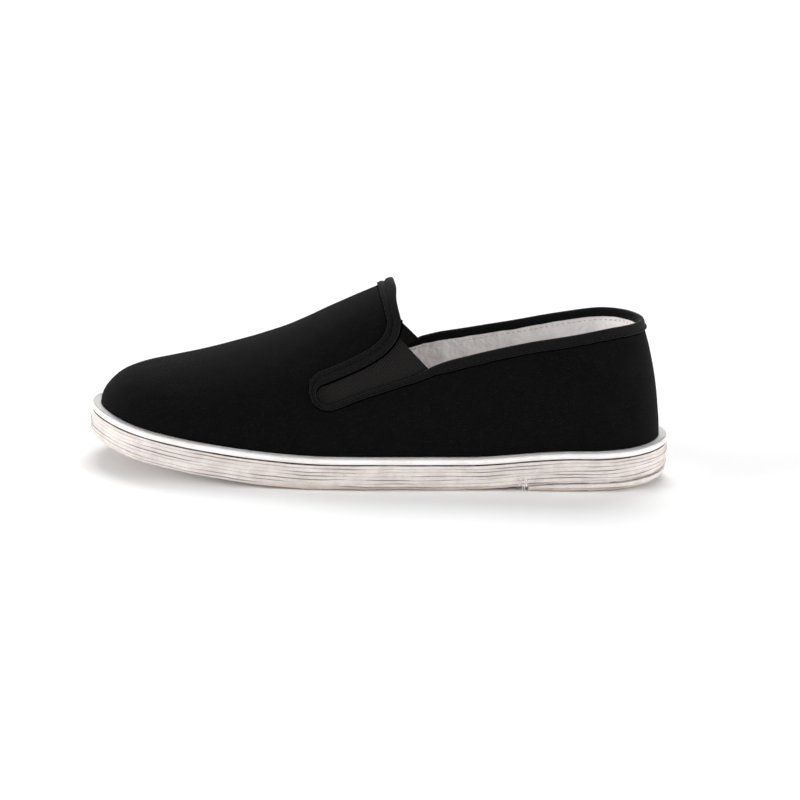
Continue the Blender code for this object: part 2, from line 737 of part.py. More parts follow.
def add_edgings(material):
    """The tongue's turned hem, from slot tip to slot tip, and the top line's binding round the heel."""
    line, (outer_tip, inner_tip) = collar_loop()
    across = towards_cloth(line)
    hem = np.arange(outer_tip, inner_tip + 1)
    binding = np.arange(inner_tip, outer_tip + len(line) + 1) % len(line)
    edging("tongue_hem", shortened(line[hem]), across[hem], HEM_WIDTH, HEM_THICKNESS, material)
    top = shortened(line[binding])
    edging("topline_binding", top, across[binding], BINDING_WIDTH, BINDING_THICKNESS, material)


def add_gores(material):
    outer_rise = -(CLOTH_WALL + SEAT_GAP)
    for side in (OUTER, INNER):
        vertices, faces = gore_patch(side, GORE_SEAM_MARGIN, outer_rise, outer_rise - GORE_THICKNESS)
        new_object(f"gore_{side}", vertices, faces, material)


def surface_material(name, colour, roughness):
    material = bpy.data.materials.new(name)
    material.use_nodes = True
    shader = material.node_tree.nodes["Principled BSDF"]
    shader.inputs["Base Color"].default_value = (*colour, 1.0)
    shader.inputs["Roughness"].default_value = roughness
    shader.inputs["Metallic"].default_value = 0.0
    return material


def build_materials():
    looks = {
        "black_cotton": ((0.010, 0.010, 0.011), 0.90),
        "black_elastic": ((0.014, 0.012, 0.013), 0.80),
        "white_cotton": ((0.86, 0.86, 0.86), 0.85),
        "ply_cloth": ((0.70, 0.64, 0.60), 0.92),
        "insole_cotton": ((0.62, 0.58, 0.57), 0.90),
    }
    return {name: surface_material(name, colour, roughness) for name, (colour, roughness) in looks.items()}


def main():
    for old in list(bpy.data.objects):
        bpy.data.objects.remove(old)
    materials = build_materials()
    add_sole(materials)
    add_insole(materials["insole_cotton"])
    add_upper(wall_grid(), materials["black_cotton"])
    add_gores(materials["black_elastic"])
    add_edgings(materials["black_cotton"])


main()
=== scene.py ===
"""Chinese cloth shoe: a slip-on with a black cotton upper, elastic gores and a white sole of layered cloth.

The frame gives the solids. Here each of them gets its cloth: the upper's outer cloth and its lining, the
turned hem and the binding, the elastic, the bound top ply and the raw edges of the pressed plies, with
their stitches, loose fibres, creases and wear. Lengths are in metres, the toe points to -X, and the side
that the camera sees is the shoe's outer one, at -Y.
"""

import math

import bpy
import numpy as np
from mathutils import Matrix, Vector


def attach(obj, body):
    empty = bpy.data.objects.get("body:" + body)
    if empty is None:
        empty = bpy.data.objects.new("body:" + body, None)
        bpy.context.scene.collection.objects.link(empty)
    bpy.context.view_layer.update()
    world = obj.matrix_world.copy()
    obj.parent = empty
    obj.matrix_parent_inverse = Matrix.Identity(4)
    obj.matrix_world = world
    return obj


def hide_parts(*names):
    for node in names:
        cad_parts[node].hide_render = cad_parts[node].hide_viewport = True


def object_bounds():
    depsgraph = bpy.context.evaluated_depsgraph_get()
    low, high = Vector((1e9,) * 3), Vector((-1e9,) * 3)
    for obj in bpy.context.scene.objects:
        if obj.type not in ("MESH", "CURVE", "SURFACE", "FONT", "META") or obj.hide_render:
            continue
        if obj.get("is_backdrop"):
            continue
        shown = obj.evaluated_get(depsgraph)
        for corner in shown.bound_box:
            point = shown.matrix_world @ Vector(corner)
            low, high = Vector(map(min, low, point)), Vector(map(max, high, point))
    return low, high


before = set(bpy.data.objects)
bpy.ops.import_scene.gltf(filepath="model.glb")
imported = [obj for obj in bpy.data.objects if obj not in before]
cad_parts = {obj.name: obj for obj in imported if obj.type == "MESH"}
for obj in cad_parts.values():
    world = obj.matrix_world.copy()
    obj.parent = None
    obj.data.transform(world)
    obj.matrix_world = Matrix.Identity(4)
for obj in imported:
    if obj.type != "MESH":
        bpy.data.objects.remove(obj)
solid_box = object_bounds()

# Sole
SOLE_LENGTH = 0.276
SOLE_MARGIN = 0.0040  # the sole's edge past the foot of the upper
TOP_PLY_THICKNESS = 0.0026  # the uppermost ply, bound in new white cloth
TOP_PLY_LIP = 0.0005  # its edge past the plies below
PLY_THICKNESS = 0.00145
PLY_SEAM = 0.0003  # height of the groove between two plies
PLY_COUNT = 7
HEEL_PLY_COUNT = 2
SEAT_GAP = 0.0003  # between pieces that lie on each other
TOE_SPRING = 0.0115
TOE_SPRING_RUN = 0.110
TOE_SPRING_POWER = 1.6
HEEL_CURL = 0.0030  # how far the very back of the sole turns up
HEEL_CURL_RUN = 0.045
HEEL_BREAST_SHARE = 0.745  # front edge of the heel plies, as a share of the sole's length
HEEL_RISE_START_SHARE = 0.630  # where the main stack starts to climb onto the heel plies
HEEL_RISE_END_SHARE = 0.830  # where the heel plies reach their full thickness

# Last
BALL_WIDTH = 0.0900  # at the foot of the upper
INSTEP_HEIGHT = 0.0750  # ridge above the foot bed at the throat
HEEL_TOP_HEIGHT = 0.0760  # top of the back seam above the floor
HEEL_LEAN = 0.0120  # how far the back seam leans forwards at its top
HEEL_LEAN_STRAIGHT = 0.35  # share of the lean that grows evenly with height
HEEL_LEAN_START_SHARE = 0.58
BELLY = 0.030  # how far the side walls belly out, as a share of the half width
BELLY_HEIGHT = 0.0110
RIDGE_POWER = 2.0  # roundness of the arch along its height
BREADTH_POWER = 2.3  # roundness of the arch across its width

# Upper
CLOTH_WALL = 0.0018
THROAT_SHARE = 0.500  # middle of the throat edge, along the last
THROAT_CORNER_SHARE = 0.526
THROAT_CORNER_HEIGHT = 0.0685
THROAT_ROUND_SHARE = 0.74  # where the rounding of the tongue's corner meets the throat edge
THROAT_ROUND_GAP = 0.03  # left free before that rounding, so that the edge's line runs into it smoothly
QUARTER_CORNER_SHARE = 0.572  # front end of the quarters' top line
GORE_TIP_SHARE = 0.395
GORE_TIP_HEIGHT = 0.0449
GORE_TIP_RADIUS = 0.0046
SLOT_HANDLE_SHARE = 0.42  # reach of the slot's curves, as a share of its length
SLOT_LOWER_PULL = 0.4  # how strongly the lower edge is drawn towards its end
SLOT_UPPER_PULL = 0.75
SLOT_MOUTH_ANGLE = math.radians(26)  # slope of the lower edge where it meets the top line
SLOT_THROAT_TURN = math.radians(14)  # how far the upper edge turns past the throat's own slope
GORE_SEAM_MARGIN = 0.0040  # the gore's edge tucked under the cloth
INSOLE_THICKNESS = 0.0016
INSOLE_CLEARANCE = 0.0006

# The last by cross-sections: place along it, half widths as shares of half the ball width,
# sideways swing of the middle line as a share of the ball width, height as a share of the instep's.
# Past the throat the height is that of the closed last, which the top line cuts through.
SECTION_COLUMNS = ("place", "outer", "inner", "swing", "height")
SECTIONS = (
    (0.00, 0.000, 0.000, 0.045, 0.000),
    (0.02, 0.440, 0.440, 0.043, 0.160),
    (0.05, 0.690, 0.670, 0.040, 0.248),
    (0.10, 0.880, 0.840, 0.034, 0.329),
    (0.17, 0.975, 0.940, 0.024, 0.425),
    (0.25, 1.010, 0.990, 0.013, 0.543),
    (0.33, 1.010, 0.985, 0.004, 0.675),
    (0.41, 0.990, 0.925, 0.000, 0.832),
    (0.49, 0.945, 0.845, 0.000, 0.975),
    (0.54, 0.910, 0.795, 0.000, 1.070),
    (0.60, 0.865, 0.745, 0.000, 1.200),
    (0.70, 0.805, 0.695, 0.000, 1.390),
    (0.80, 0.765, 0.668, 0.000, 1.520),
    (0.90, 0.695, 0.638, 0.000, 1.600),
    (0.96, 0.520, 0.495, 0.000, 1.640),
    (1.00, 0.000, 0.000, 0.000, 1.670),
)

# The quarters' top line, from their front corner to the back seam: height above the floor
# as a share of the back seam's, on the outer and the inner side.
TOP_LINE_COLUMNS = ("place", "outer", "inner")
TOP_LINE = (
    (0.00, 0.752, 0.748),
    (0.25, 0.846, 0.824),
    (0.48, 0.914, 0.890),
    (0.70, 0.965, 0.948),
    (0.87, 0.998, 0.990),
    (1.00, 1.000, 1.000),
)

OUTER, INNER = "outer", "inner"
SIDE_SIGN = {OUTER: -1.0, INNER: 1.0}

LAST_LENGTH = SOLE_LENGTH - 2 * (SOLE_MARGIN + TOP_PLY_LIP)
LAST_TOE = -LAST_LENGTH / 2
LAST_HEEL = LAST_LENGTH / 2
PLY_PITCH = PLY_THICKNESS + PLY_SEAM
PRESSED_HEIGHT = PLY_COUNT * PLY_PITCH - PLY_SEAM
HEEL_PRESSED_HEIGHT = HEEL_PLY_COUNT * PLY_PITCH - PLY_SEAM
STACK_HEIGHT = TOP_PLY_THICKNESS + SEAT_GAP + PRESSED_HEIGHT
HEEL_STACK_HEIGHT = SEAT_GAP + HEEL_PRESSED_HEIGHT


def smooth_step(t):
    """Eases from 0 to 1 as t does."""
    t = np.clip(t, 0.0, 1.0)
    return t * t * (3 - 2 * t)


def unit(vectors):
    """Vectors brought to length one."""
    return vectors / np.linalg.norm(vectors, axis=-1, keepdims=True)


def run_along(points):
    """The length passed at each point of a path."""
    return np.concatenate([[0], np.cumsum(np.linalg.norm(np.diff(points, axis=0), axis=-1))])


def places_along(points, run, at):
    """Where a path is at the given lengths of its run."""
    return np.stack([np.interp(at, run, points[:, k]) for k in range(points.shape[1])], axis=-1)


def column(table, names, name):
    """One named column of a table."""
    return np.array([row[names.index(name)] for row in table])


def cubic(places, values):
    """A smooth curve through the given values, as a function."""
    count = len(places)
    step = np.diff(places)
    slope = np.diff(values) / step
    system = np.eye(count)
    bend = np.zeros(count)
    for i in range(1, count - 1):
        system[i, i - 1 : i + 2] = step[i - 1], 2 * (step[i - 1] + step[i]), step[i]
        bend[i] = 6 * (slope[i] - slope[i - 1])
    bend = np.linalg.solve(system, bend)

    def at(place):
        place = np.clip(place, places[0], places[-1])
        i = np.clip(np.searchsorted(places, place) - 1, 0, count - 2)
        done, left, span = place - places[i], places[i + 1] - place, step[i]
        curved = (bend[i] * left**3 + bend[i + 1] * done**3) / (6 * span)
        straight = (values[i] / span - bend[i] * span / 6) * left
        return curved + straight + (values[i + 1] / span - bend[i + 1] * span / 6) * done

    return at


def turn_at(share):
    """Angle round the last for a share of its length, so that toe and heel close round."""
    return np.arccos(np.clip(1 - 2 * share, -1, 1))


def section_curve(name):
    """One column of the cross-sections as a smooth curve round the last."""
    places = turn_at(column(SECTIONS, SECTION_COLUMNS, "place"))
    return cubic(places, column(SECTIONS, SECTION_COLUMNS, name))


HALF_WIDTH = {side: section_curve(side) for side in (OUTER, INNER)}
RIDGE_HEIGHT = section_curve("height")
SWING = section_curve("swing")
TOP_LINE_HEIGHT = {
    side: cubic(column(TOP_LINE, TOP_LINE_COLUMNS, "place"), column(TOP_LINE, TOP_LINE_COLUMNS, side))
    for side in (OUTER, INNER)
}


def along_last(turn):
    """Place along the last at an angle round it."""
    return LAST_TOE + LAST_LENGTH * (1 - np.cos(turn)) / 2


def outline_of_last(turn):
    """Point of the closed foot line in plan: 0 toe, pi heel along the outer side, back along the inner."""
    turn = np.mod(turn, 2 * math.pi)
    outer = turn <= math.pi
    half_turn = np.where(outer, turn, 2 * math.pi - turn)
    width = np.where(outer, -HALF_WIDTH[OUTER](half_turn), HALF_WIDTH[INNER](half_turn))
    y = width * BALL_WIDTH / 2 + SWING(half_turn) * BALL_WIDTH
    return np.stack([along_last(half_turn), y], axis=-1)


def outline(turn, margin):
    """The foot line moved outwards by the margin, square to itself."""
    nudge = 1e-4
    ahead = unit(outline_of_last(turn + nudge) - outline_of_last(turn - nudge))
    outwards = np.stack([ahead[..., 1], -ahead[..., 0]], axis=-1)
    return outline_of_last(turn) + outwards * margin


def middle_shift():
    """Centres the sole's outline on the X axis."""
    y = outline(np.linspace(0, 2 * math.pi, 721), SOLE_MARGIN)[:, 1]
    return (y.min() + y.max()) / 2


MIDDLE_SHIFT = middle_shift()


def middle_line(x):
    """Sideways swing of the last's middle line."""
    share = (x - LAST_TOE) / LAST_LENGTH
    return SWING(turn_at(share)) * BALL_WIDTH - MIDDLE_SHIFT


def heel_rise(x):
    """How far the main stack has climbed onto the heel plies, as a share of their thickness."""
    start = SOLE_LENGTH * (HEEL_RISE_START_SHARE - 0.5)
    end = SOLE_LENGTH * (HEEL_RISE_END_SHARE - 0.5)
    return smooth_step((x - start) / (end - start))


def bed_height(x):
    """Top of the sole above the floor: flat under the ball, with toe spring, heel rise and heel curl."""
    toe = np.clip(1 - (x + SOLE_LENGTH / 2) / TOE_SPRING_RUN, 0, None)
    back = np.clip(1 - (SOLE_LENGTH / 2 - x) / HEEL_CURL_RUN, 0, None)
    springs = TOE_SPRING * toe**TOE_SPRING_POWER + HEEL_CURL * back**2
    return STACK_HEIGHT + HEEL_STACK_HEIGHT * heel_rise(x) + springs


HEEL_SEAT_HEIGHT = float(bed_height(LAST_HEEL))


def lean_at(z):
    """How far the back leans forwards at a height."""
    climb = np.clip((z - HEEL_SEAT_HEIGHT) / (HEEL_TOP_HEIGHT - HEEL_SEAT_HEIGHT), 0, 1.4)
    return HEEL_LEAN * (HEEL_LEAN_STRAIGHT * climb + (1 - HEEL_LEAN_STRAIGHT) * climb**2)


def lean_share(upright_x):
    """How much of that lean a place along the last takes."""
    start = LAST_TOE + LAST_LENGTH * HEEL_LEAN_START_SHARE
    return smooth_step((upright_x - start) / (LAST_HEEL - start))


def leaned(upright_x, z):
    """The place along the last after its back leaned forwards."""
    return upright_x - lean_at(z) * lean_share(upright_x)


def upright(x, z):
    """The place along the last before its back leaned forwards."""
    found = x
    for _ in range(8):
        found = x + lean_at(z) * lean_share(found)
    return found


def half_breadth(x, z, side):
    """Half breadth of the last at a place and a height, on one side of the middle line."""
    place = upright(x, z)
    turn = turn_at((place - LAST_TOE) / LAST_LENGTH)
    climb = np.clip(z - bed_height(x), 0, None)
    ridge = np.maximum(RIDGE_HEIGHT(turn) * INSTEP_HEIGHT, 1e-9)
    belly = 1 + BELLY * climb / BELLY_HEIGHT * np.exp(1 - climb / BELLY_HEIGHT)
    arch = (1 - np.clip(climb / ridge, 0, 1) ** RIDGE_POWER) ** (1 / BREADTH_POWER)
    return HALF_WIDTH[side](turn) * BALL_WIDTH / 2 * belly * arch


def outside_by(points):
    """Below zero inside the last, above zero outside it."""
    x, y, z = points[..., 0], points[..., 1], points[..., 2]
    across = y - middle_line(x)
    breadth = np.where(across < 0, half_breadth(x, z, OUTER), half_breadth(x, z, INNER))
    place = upright(x, z)
    turn = turn_at((place - LAST_TOE) / LAST_LENGTH)
    too_high = np.clip(z - bed_height(x) - RIDGE_HEIGHT(turn) * INSTEP_HEIGHT, 0, None)
    too_long = np.clip(np.abs(place) - LAST_LENGTH / 2, 0, None)
    return np.abs(across) - breadth + too_high + too_long


def side_point(x, z, side):
    """The point of one side of the last that shows at a place and a height in the side view."""
    y = middle_line(x) + SIDE_SIGN[side] * half_breadth(x, z, side)
    return np.stack([x, y, np.broadcast_to(z, np.shape(x))], axis=-1)


def spine(points):
    """A point low inside the last from which the surface is seen through the given point."""
    toe_fan, heel_fan, clear_of_bed = 0.17 * LAST_LENGTH, 0.12 * LAST_LENGTH, 0.003
    x = np.clip(points[..., 0], LAST_TOE + toe_fan, LAST_HEEL - heel_fan)
    return np.stack([x, middle_line(x), bed_height(x) + clear_of_bed], axis=-1)


def cast(origin, through):
    """Where the ray from origin through the point meets the last's surface."""
    ray = unit(through - origin)
    near = np.zeros(ray.shape[:-1])
    far = np.full(ray.shape[:-1], LAST_LENGTH)
    for _ in range(44):
        middle = (near + far) / 2
        inside = outside_by(origin + ray * middle[..., None]) < 0
        near = np.where(inside, middle, near)
        far = np.where(inside, far, middle)
    return origin + ray * near[..., None]


def onto_surface(points):
    """The points moved onto the last."""
    return cast(spine(points), points)


def surface_normal(points):
    """Outward normals, from four neighbours of each point."""
    origin = spine(points)
    ray = unit(points - origin)
    reach = 0.0004
    first = unit(np.cross(ray, [0.0, 0.0, 1.0]))
    second = np.cross(first, ray)
    across = cast(origin, points + first * reach) - cast(origin, points - first * reach)
    upwards = cast(origin, points + second * reach) - cast(origin, points - second * reach)
    normal = unit(np.cross(across, upwards))
    facing = np.sign(np.sum(normal * ray, axis=-1, keepdims=True))
    return normal * facing


def place_at(share):
    """Place along the last at a share of its length."""
    return LAST_TOE + LAST_LENGTH * share


def throat_point(share, side):
    """Point of the throat edge: 0 at its middle, on the ridge, 1 at its corner."""
    share = np.asarray(share, float)
    x = place_at(THROAT_SHARE + (THROAT_CORNER_SHARE - THROAT_SHARE) * share**2)
    floor = np.stack([x, middle_line(x), bed_height(x)], axis=-1)
    corner_x = place_at(THROAT_CORNER_SHARE)
    corner = side_point(np.array(corner_x), THROAT_CORNER_HEIGHT, side)
    climb = math.atan2(THROAT_CORNER_HEIGHT - bed_height(corner_x), abs(corner[1] - middle_line(corner_x)))
    angle = math.pi / 2 - (math.pi / 2 - climb) * share
    ray = np.stack([0 * angle, SIDE_SIGN[side] * np.cos(angle), np.sin(angle)], axis=-1)
    return cast(floor, floor + ray)


def top_line_point(share, side):
    """Point of a quarter's top line: 0 at its front corner, 1 at the back seam."""
    share = np.asarray(share, float)
    corner_turn = turn_at(QUARTER_CORNER_SHARE)
    turn = corner_turn + (math.pi - corner_turn) * share
    run = (along_last(turn) - place_at(QUARTER_CORNER_SHARE)) / (LAST_HEEL - place_at(QUARTER_CORNER_SHARE))
    z = TOP_LINE_HEIGHT[side](run) * HEEL_TOP_HEIGHT
    return side_point(leaned(along_last(turn), z), z, side)


def quarter_corner(side):
    """Front corner of a quarter's top line."""
    return top_line_point(0.0, side)


def mouth_point(share, side):
    """Point of the gore's free edge, from the throat corner to the quarter's front corner."""
    start = throat_point(1.0, side)
    end = quarter_corner(side)
    x = start[0] + (end[0] - start[0]) * np.asarray(share, float)
    z = start[2] + (end[2] - start[2]) * np.asarray(share, float)
    return side_point(x, z, side)


def resampled(points, shares):
    """Points at the given shares of a path's length."""
    run = run_along(points)
    return places_along(points, run / run[-1], shares)


def bezier(start, start_aim, end_aim, end, count):
    """Points of a cubic curve that leaves and arrives towards its two aims."""
    t = np.linspace(0, 1, count)[:, None]
    return (1 - t) ** 3 * start + 3 * (1 - t) ** 2 * t * start_aim + 3 * (1 - t) * t**2 * end_aim + t**3 * end


def slot_edges(side, grow):
    """Lower and upper edge of a gore's slot in the side view, from its round tip to its mouth.

    The upper edge ends by rounding off the tongue's corner, up to the throat edge.
    """
    tip = np.array([place_at(GORE_TIP_SHARE), GORE_TIP_HEIGHT])
    high = throat_point(THROAT_ROUND_SHARE, side)[[0, 2]]
    before = throat_point(THROAT_ROUND_SHARE + 0.04, side)[[0, 2]]
    low = quarter_corner(side)[[0, 2]]
    axis = unit((throat_point(1.0, side)[[0, 2]] + low) / 2 - tip)
    square = np.array([-axis[1], axis[0]])
    throat_angle = math.atan2(*(high - before)[::-1]) - SLOT_THROAT_TURN
    handle = SLOT_HANDLE_SHARE * np.linalg.norm(high - tip)
    ends = {
        "lower": (low, -1, SLOT_MOUTH_ANGLE, SLOT_LOWER_PULL),
        "upper": (high, 1, throat_angle, SLOT_UPPER_PULL),
    }
    edges = {}
    for name, (end, way, end_angle, pull) in ends.items():
        turn = np.linspace(0, math.pi / 2, 9)[:, None]
        arc = tip + GORE_TIP_RADIUS * (-axis * np.cos(turn) + way * square * np.sin(turn))
        arrive = np.array([math.cos(end_angle), math.sin(end_angle)])
        side_line = bezier(arc[-1], arc[-1] + axis * handle, end - arrive * handle * pull, end, 30)
        line = np.concatenate([arc, side_line[1:]])
        ahead = unit(np.gradient(line, axis=0))
        line = line + way * grow * np.stack([-ahead[:, 1], ahead[:, 0]], axis=1)
        edges[name] = line
    return edges["lower"], edges["upper"]


# How the photograph was taken: a long lens, a little from above, the picture turned a little.
VIEW_AZIMUTH, VIEW_ELEVATION, VIEW_ROLL = 4.5, 14.0, 3.0
VIEW_DISTANCE = 1.4
VIEW_TARGET = (0.0, 0.0, 0.045)
PICTURE_WIDTH = 800
PIXELS_PER_METRE = 2102.3
OFF_CENTRE = (-16.3, -27.0)  # where the target lies from the picture's middle, right and down, in pixels

GIRTH_COLUMNS = 520
GIRTH_ROWS = 65
EDGE_STATIONS = 520
SOLE_EDGE_STATIONS = 420
THROAT_STATIONS, QUARTER_STATIONS, SLOT_STATIONS = 60, 140, 110
GORE_ROWS, GORE_COLUMNS = 60, 26
CUTTER_ROWS, CUTTER_COLUMNS = 40, 8
TIP_CROWDING = 1.3  # how much closer the rows stand at a slot's round tip

# The plies as they look: how far an edge crowns, how deep the crack under it is, and the wear at the ground
PLY_CROWN = 0.00012
PLY_CRACK = 0.00095
SOLE_CORE_REACH = 0.09  # half the straight line down the sole's middle, from which its edge is pushed out
SHADE_LINE_GAP = 0.00003  # between the bound ply and the painted shade line under it
BAND_CROWN = 0.0011
SOCK_CROWN = 0.0004
WORN_EDGE = 0.0016
WORN_RISE = 0.0030
PLY_WANDER = 0.00036  # how far each ply wanders up and down along the shoe, in long waves and in short ones
PLY_RIPPLE = 0.00010
EDGE_UNEVENNESS = 0.00010  # how far the plies' edges wander in and out, and each ply's own roughness
EDGE_ROUGHNESS = 0.00008
RAGGED_DEPTH = 0.00045  # how far the lowest edge is frayed away, sideways and upwards
RAGGED_LIFT = 0.00035

# Layers of the upper, as depths under the last's surface
CLOTH_THICKNESS = 0.00095
LINING_TOP = 0.00100
LINING_THICKNESS = 0.00075
ELASTIC_TOP = 0.00098
ELASTIC_THICKNESS = 0.0011
ELASTIC_TUCK = GORE_SEAM_MARGIN - 0.0006  # how far the elastic reaches behind the cloth round its slot
CLOTH_SLOT_GROWTH = 0.0015  # how much wider than the slot the cloth is cut, under the hem's fold
LINING_SLOT_GROWTH = 0.0035
LINING_SAG = 0.0003  # how far the lining hangs loose, in long waves and in short ones
LINING_RIPPLE = 0.00012

# Creases, listed one by one. Each follows points of one side, as x and height in millimetres, with
# its half width and its depth in millimetres: below zero a trough, above zero a ridge.
CREASES = (
    (OUTER, ((58, 66), (80, 57), (103, 45), (118, 33)), 6.0, -1.7),
    (OUTER, ((70, 76), (94, 65), (117, 53)), 7.5, 1.2),
    (OUTER, ((40, 52), (66, 42), (92, 30)), 9.0, 0.8),
    (OUTER, ((-6, 72), (-22, 62), (-34, 50)), 3.5, -0.35),
    (OUTER, ((-10, 80), (-28, 70), (-46, 58)), 4.0, 0.3),
    (OUTER, ((0, 62), (-14, 56), (-24, 50)), 3.0, 0.25),
    (OUTER, ((-60, 40), (-44, 33), (-30, 29)), 8.0, -0.35),
    (OUTER, ((-30, 24), (0, 26), (28, 27)), 6.0, -0.3),
    (INNER, ((56, 66), (82, 55), (108, 40)), 6.0, -0.8),
    (INNER, ((70, 76), (96, 62), (118, 48)), 7.0, 0.5),
    (INNER, ((-14, 76), (-30, 62), (-42, 48)), 4.0, -0.3),
    (INNER, ((-62, 40), (-44, 32), (-24, 28)), 8.0, -0.4),
)


FOOT_CALM = 0.012  # height above the sole over which the cloth is held taut
CLOTH_SAG = 0.00022  # soft unevenness of the worn cloth, in long waves and in short ones
CLOTH_RIPPLE = 0.00007
CLOTH_RISE_MOST = 0.0013


def smooth_waves(points, length, seed):
    """A soft unevenness between -1 and 1 with waves of about the given length."""
    chance = np.random.default_rng(seed)
    total = np.zeros(points.shape[:-1])
    for _ in range(7):
        way = unit(chance.normal(size=3))
        pitch = length * chance.uniform(0.7, 1.5)
        total += np.sin(points @ way * (2 * math.pi / pitch) + chance.uniform(0, 2 * math.pi))
    return total / 4.0


def distance_to_path(points, path):
    """Distance of each point to a polyline, and the share of the polyline's length at the nearest place."""
    best = np.full(points.shape[:-1], 1e9)
    place = np.zeros(points.shape[:-1])
    run = run_along(path)
    run /= run[-1]
    for k, (start, end) in enumerate(zip(path[:-1], path[1:])):
        chord = end - start
        share = np.clip(((points - start) @ chord) / (chord @ chord), 0, 1)
        gap = np.linalg.norm(points - start - share[..., None] * chord, axis=-1)
        nearer = gap < best
        best = np.where(nearer, gap, best)
        place = np.where(nearer, run[k] + share * (run[k + 1] - run[k]), place)
    return best, place


def crease_paths():
    """The creases as lines on the last, each with its half width and depth in metres."""
    paths = []
    for side, route, width, depth in CREASES:
        route = np.array(route, float) / 1000
        fine = np.linspace(0, len(route) - 1, 16)
        flat = places_along(route, np.arange(len(route)), fine)
        paths.append((side_point(flat[:, 0], flat[:, 1], side), width / 1000, depth / 1000))
    return paths


CREASE_PATHS = crease_paths()


def cloth_rise(points):
    """How far the worn cloth stands off the last: the creases, and a soft unevenness."""
    climb = np.clip((points[..., 2] - bed_height(points[..., 0])) / FOOT_CALM, 0, 1)
    rise = CLOTH_SAG * smooth_waves(points, 0.045, 11) + CLOTH_RIPPLE * smooth_waves(points, 0.014, 12)
    for path, width, depth in CREASE_PATHS:
        gap, place = distance_to_path(points, path)
        fade = np.clip(np.minimum(place, 1 - place) / 0.22, 0, 1)
        rise = rise + depth * np.exp(-((gap / width) ** 2)) * smooth_step(0.25 + 0.75 * fade)
    return np.minimum(rise, CLOTH_RISE_MOST) * smooth_step(climb)


def wall_columns(turns, tops, side):
    """Lines of the upper's surface, each from the foot line up to its point of the top edge."""
    feet = np.zeros((len(turns), 3))
    feet[:, :2] = outline_of_last(turns if side == OUTER else -turns)
    feet[:, 1] -= MIDDLE_SHIFT
    feet[:, 2] = bed_height(feet[:, 0]) + SEAT_GAP
    share = np.linspace(0, 1, 91)[None, :, None]
    chord = feet[:, None] + (tops - feet)[:, None] * share
    lines = cast(spine(chord), chord)
    lines[:, 0] = feet
    lines[:, -1] = tops
    rows = np.linspace(0, 1, GIRTH_ROWS)
    return np.array([resampled(line, rows) for line in lines])


def wall_grid():
    """The upper's outer surface: a closed ring of columns from the toe by the outer side, round the heel."""
    throat_foot = turn_at(THROAT_CORNER_SHARE - THROAT_FOOT_LAG)
    mouth_foot = turn_at(QUARTER_CORNER_SHARE - QUARTER_FOOT_LAG)
    half = GIRTH_COLUMNS // 2
    throat, mouth = int(half * THROAT_COLUMNS_SHARE), int(half * MOUTH_COLUMNS_SHARE)
    columns = {}
    for side in (OUTER, INNER):
        turns, tops = [], []
        for count, start, end, edge in (
            (throat, 0.0, throat_foot, throat_point),
            (mouth, throat_foot, mouth_foot, mouth_point),
            (half - throat - mouth, mouth_foot, math.pi, top_line_point),
        ):
            share = np.arange(count + (edge is top_line_point)) / count
            turns.append(start + (end - start) * share)
            tops.append(edge(share, side))
        columns[side] = wall_columns(np.concatenate(turns), np.concatenate(tops), side)
    return np.concatenate([columns[OUTER], columns[INNER][-2::-1]])


def grid_places(grid):
    """Where each point of a grid lies along it and across it, in millimetres."""
    middle = grid[:, grid.shape[1] // 2]
    along = run_along(middle)
    across = np.cumsum(np.linalg.norm(np.diff(grid, axis=1), axis=-1), axis=1)
    across = np.concatenate([np.zeros((len(grid), 1)), across], axis=1)
    return np.stack([np.broadcast_to(along[:, None], across.shape), across], axis=-1) * 1000


def pick_only(obj):
    """Selects one piece and nothing else."""
    bpy.ops.object.select_all(action="DESELECT")
    obj.select_set(True)
    bpy.context.view_layer.objects.active = obj


def finish_modifier(obj, kind, **settings):
    """Adds a modifier with its settings and applies it."""
    pick_only(obj)
    modifier = obj.modifiers.new(kind.lower(), kind)
    for name, value in settings.items():
        setattr(modifier, name, value)
    bpy.ops.object.modifier_apply(modifier=modifier.name)


def laid_grid(name, points, places, material, closed=True, cracks=None):
    """A grid laid on rows of points. Its map holds their places in millimetres, cracks are marked 0 to 1 for
    painted shade.
    """
    rows, columns = points.shape[:2]
    bpy.ops.object.select_all(action="DESELECT")
    bpy.ops.mesh.primitive_grid_add(x_subdivisions=columns - 1, y_subdivisions=rows - 1, size=1.0)
    obj = bpy.context.object
    obj.name = obj.data.name = name
    mesh = obj.data
    mesh.vertices.foreach_set("co", np.ascontiguousarray(points, dtype=np.float32).ravel())
    corners = np.empty(len(mesh.loops), dtype=np.int32)
    mesh.loops.foreach_get("vertex_index", corners)
    flat = np.ascontiguousarray(places, dtype=np.float32).reshape(-1, 2)[corners]
    mesh.uv_layers.active.data.foreach_set("uv", flat.ravel())
    if cracks is not None:
        marks = mesh.attributes.new("crack", "FLOAT", "POINT")
        marks.data.foreach_set("value", np.ascontiguousarray(cracks, dtype=np.float32).ravel())
    bpy.ops.object.mode_set(mode="EDIT")
    bpy.ops.mesh.select_all(action="SELECT")
    bpy.ops.mesh.remove_doubles(threshold=1e-6)
    bpy.ops.mesh.dissolve_degenerate(threshold=1e-7)
    if closed:
        bpy.ops.mesh.select_all(action="SELECT")
        bpy.ops.mesh.normals_make_consistent(inside=False)
    bpy.ops.object.mode_set(mode="OBJECT")
    bpy.ops.object.shade_smooth()
    mesh.materials.append(MATERIALS[material])
    return obj


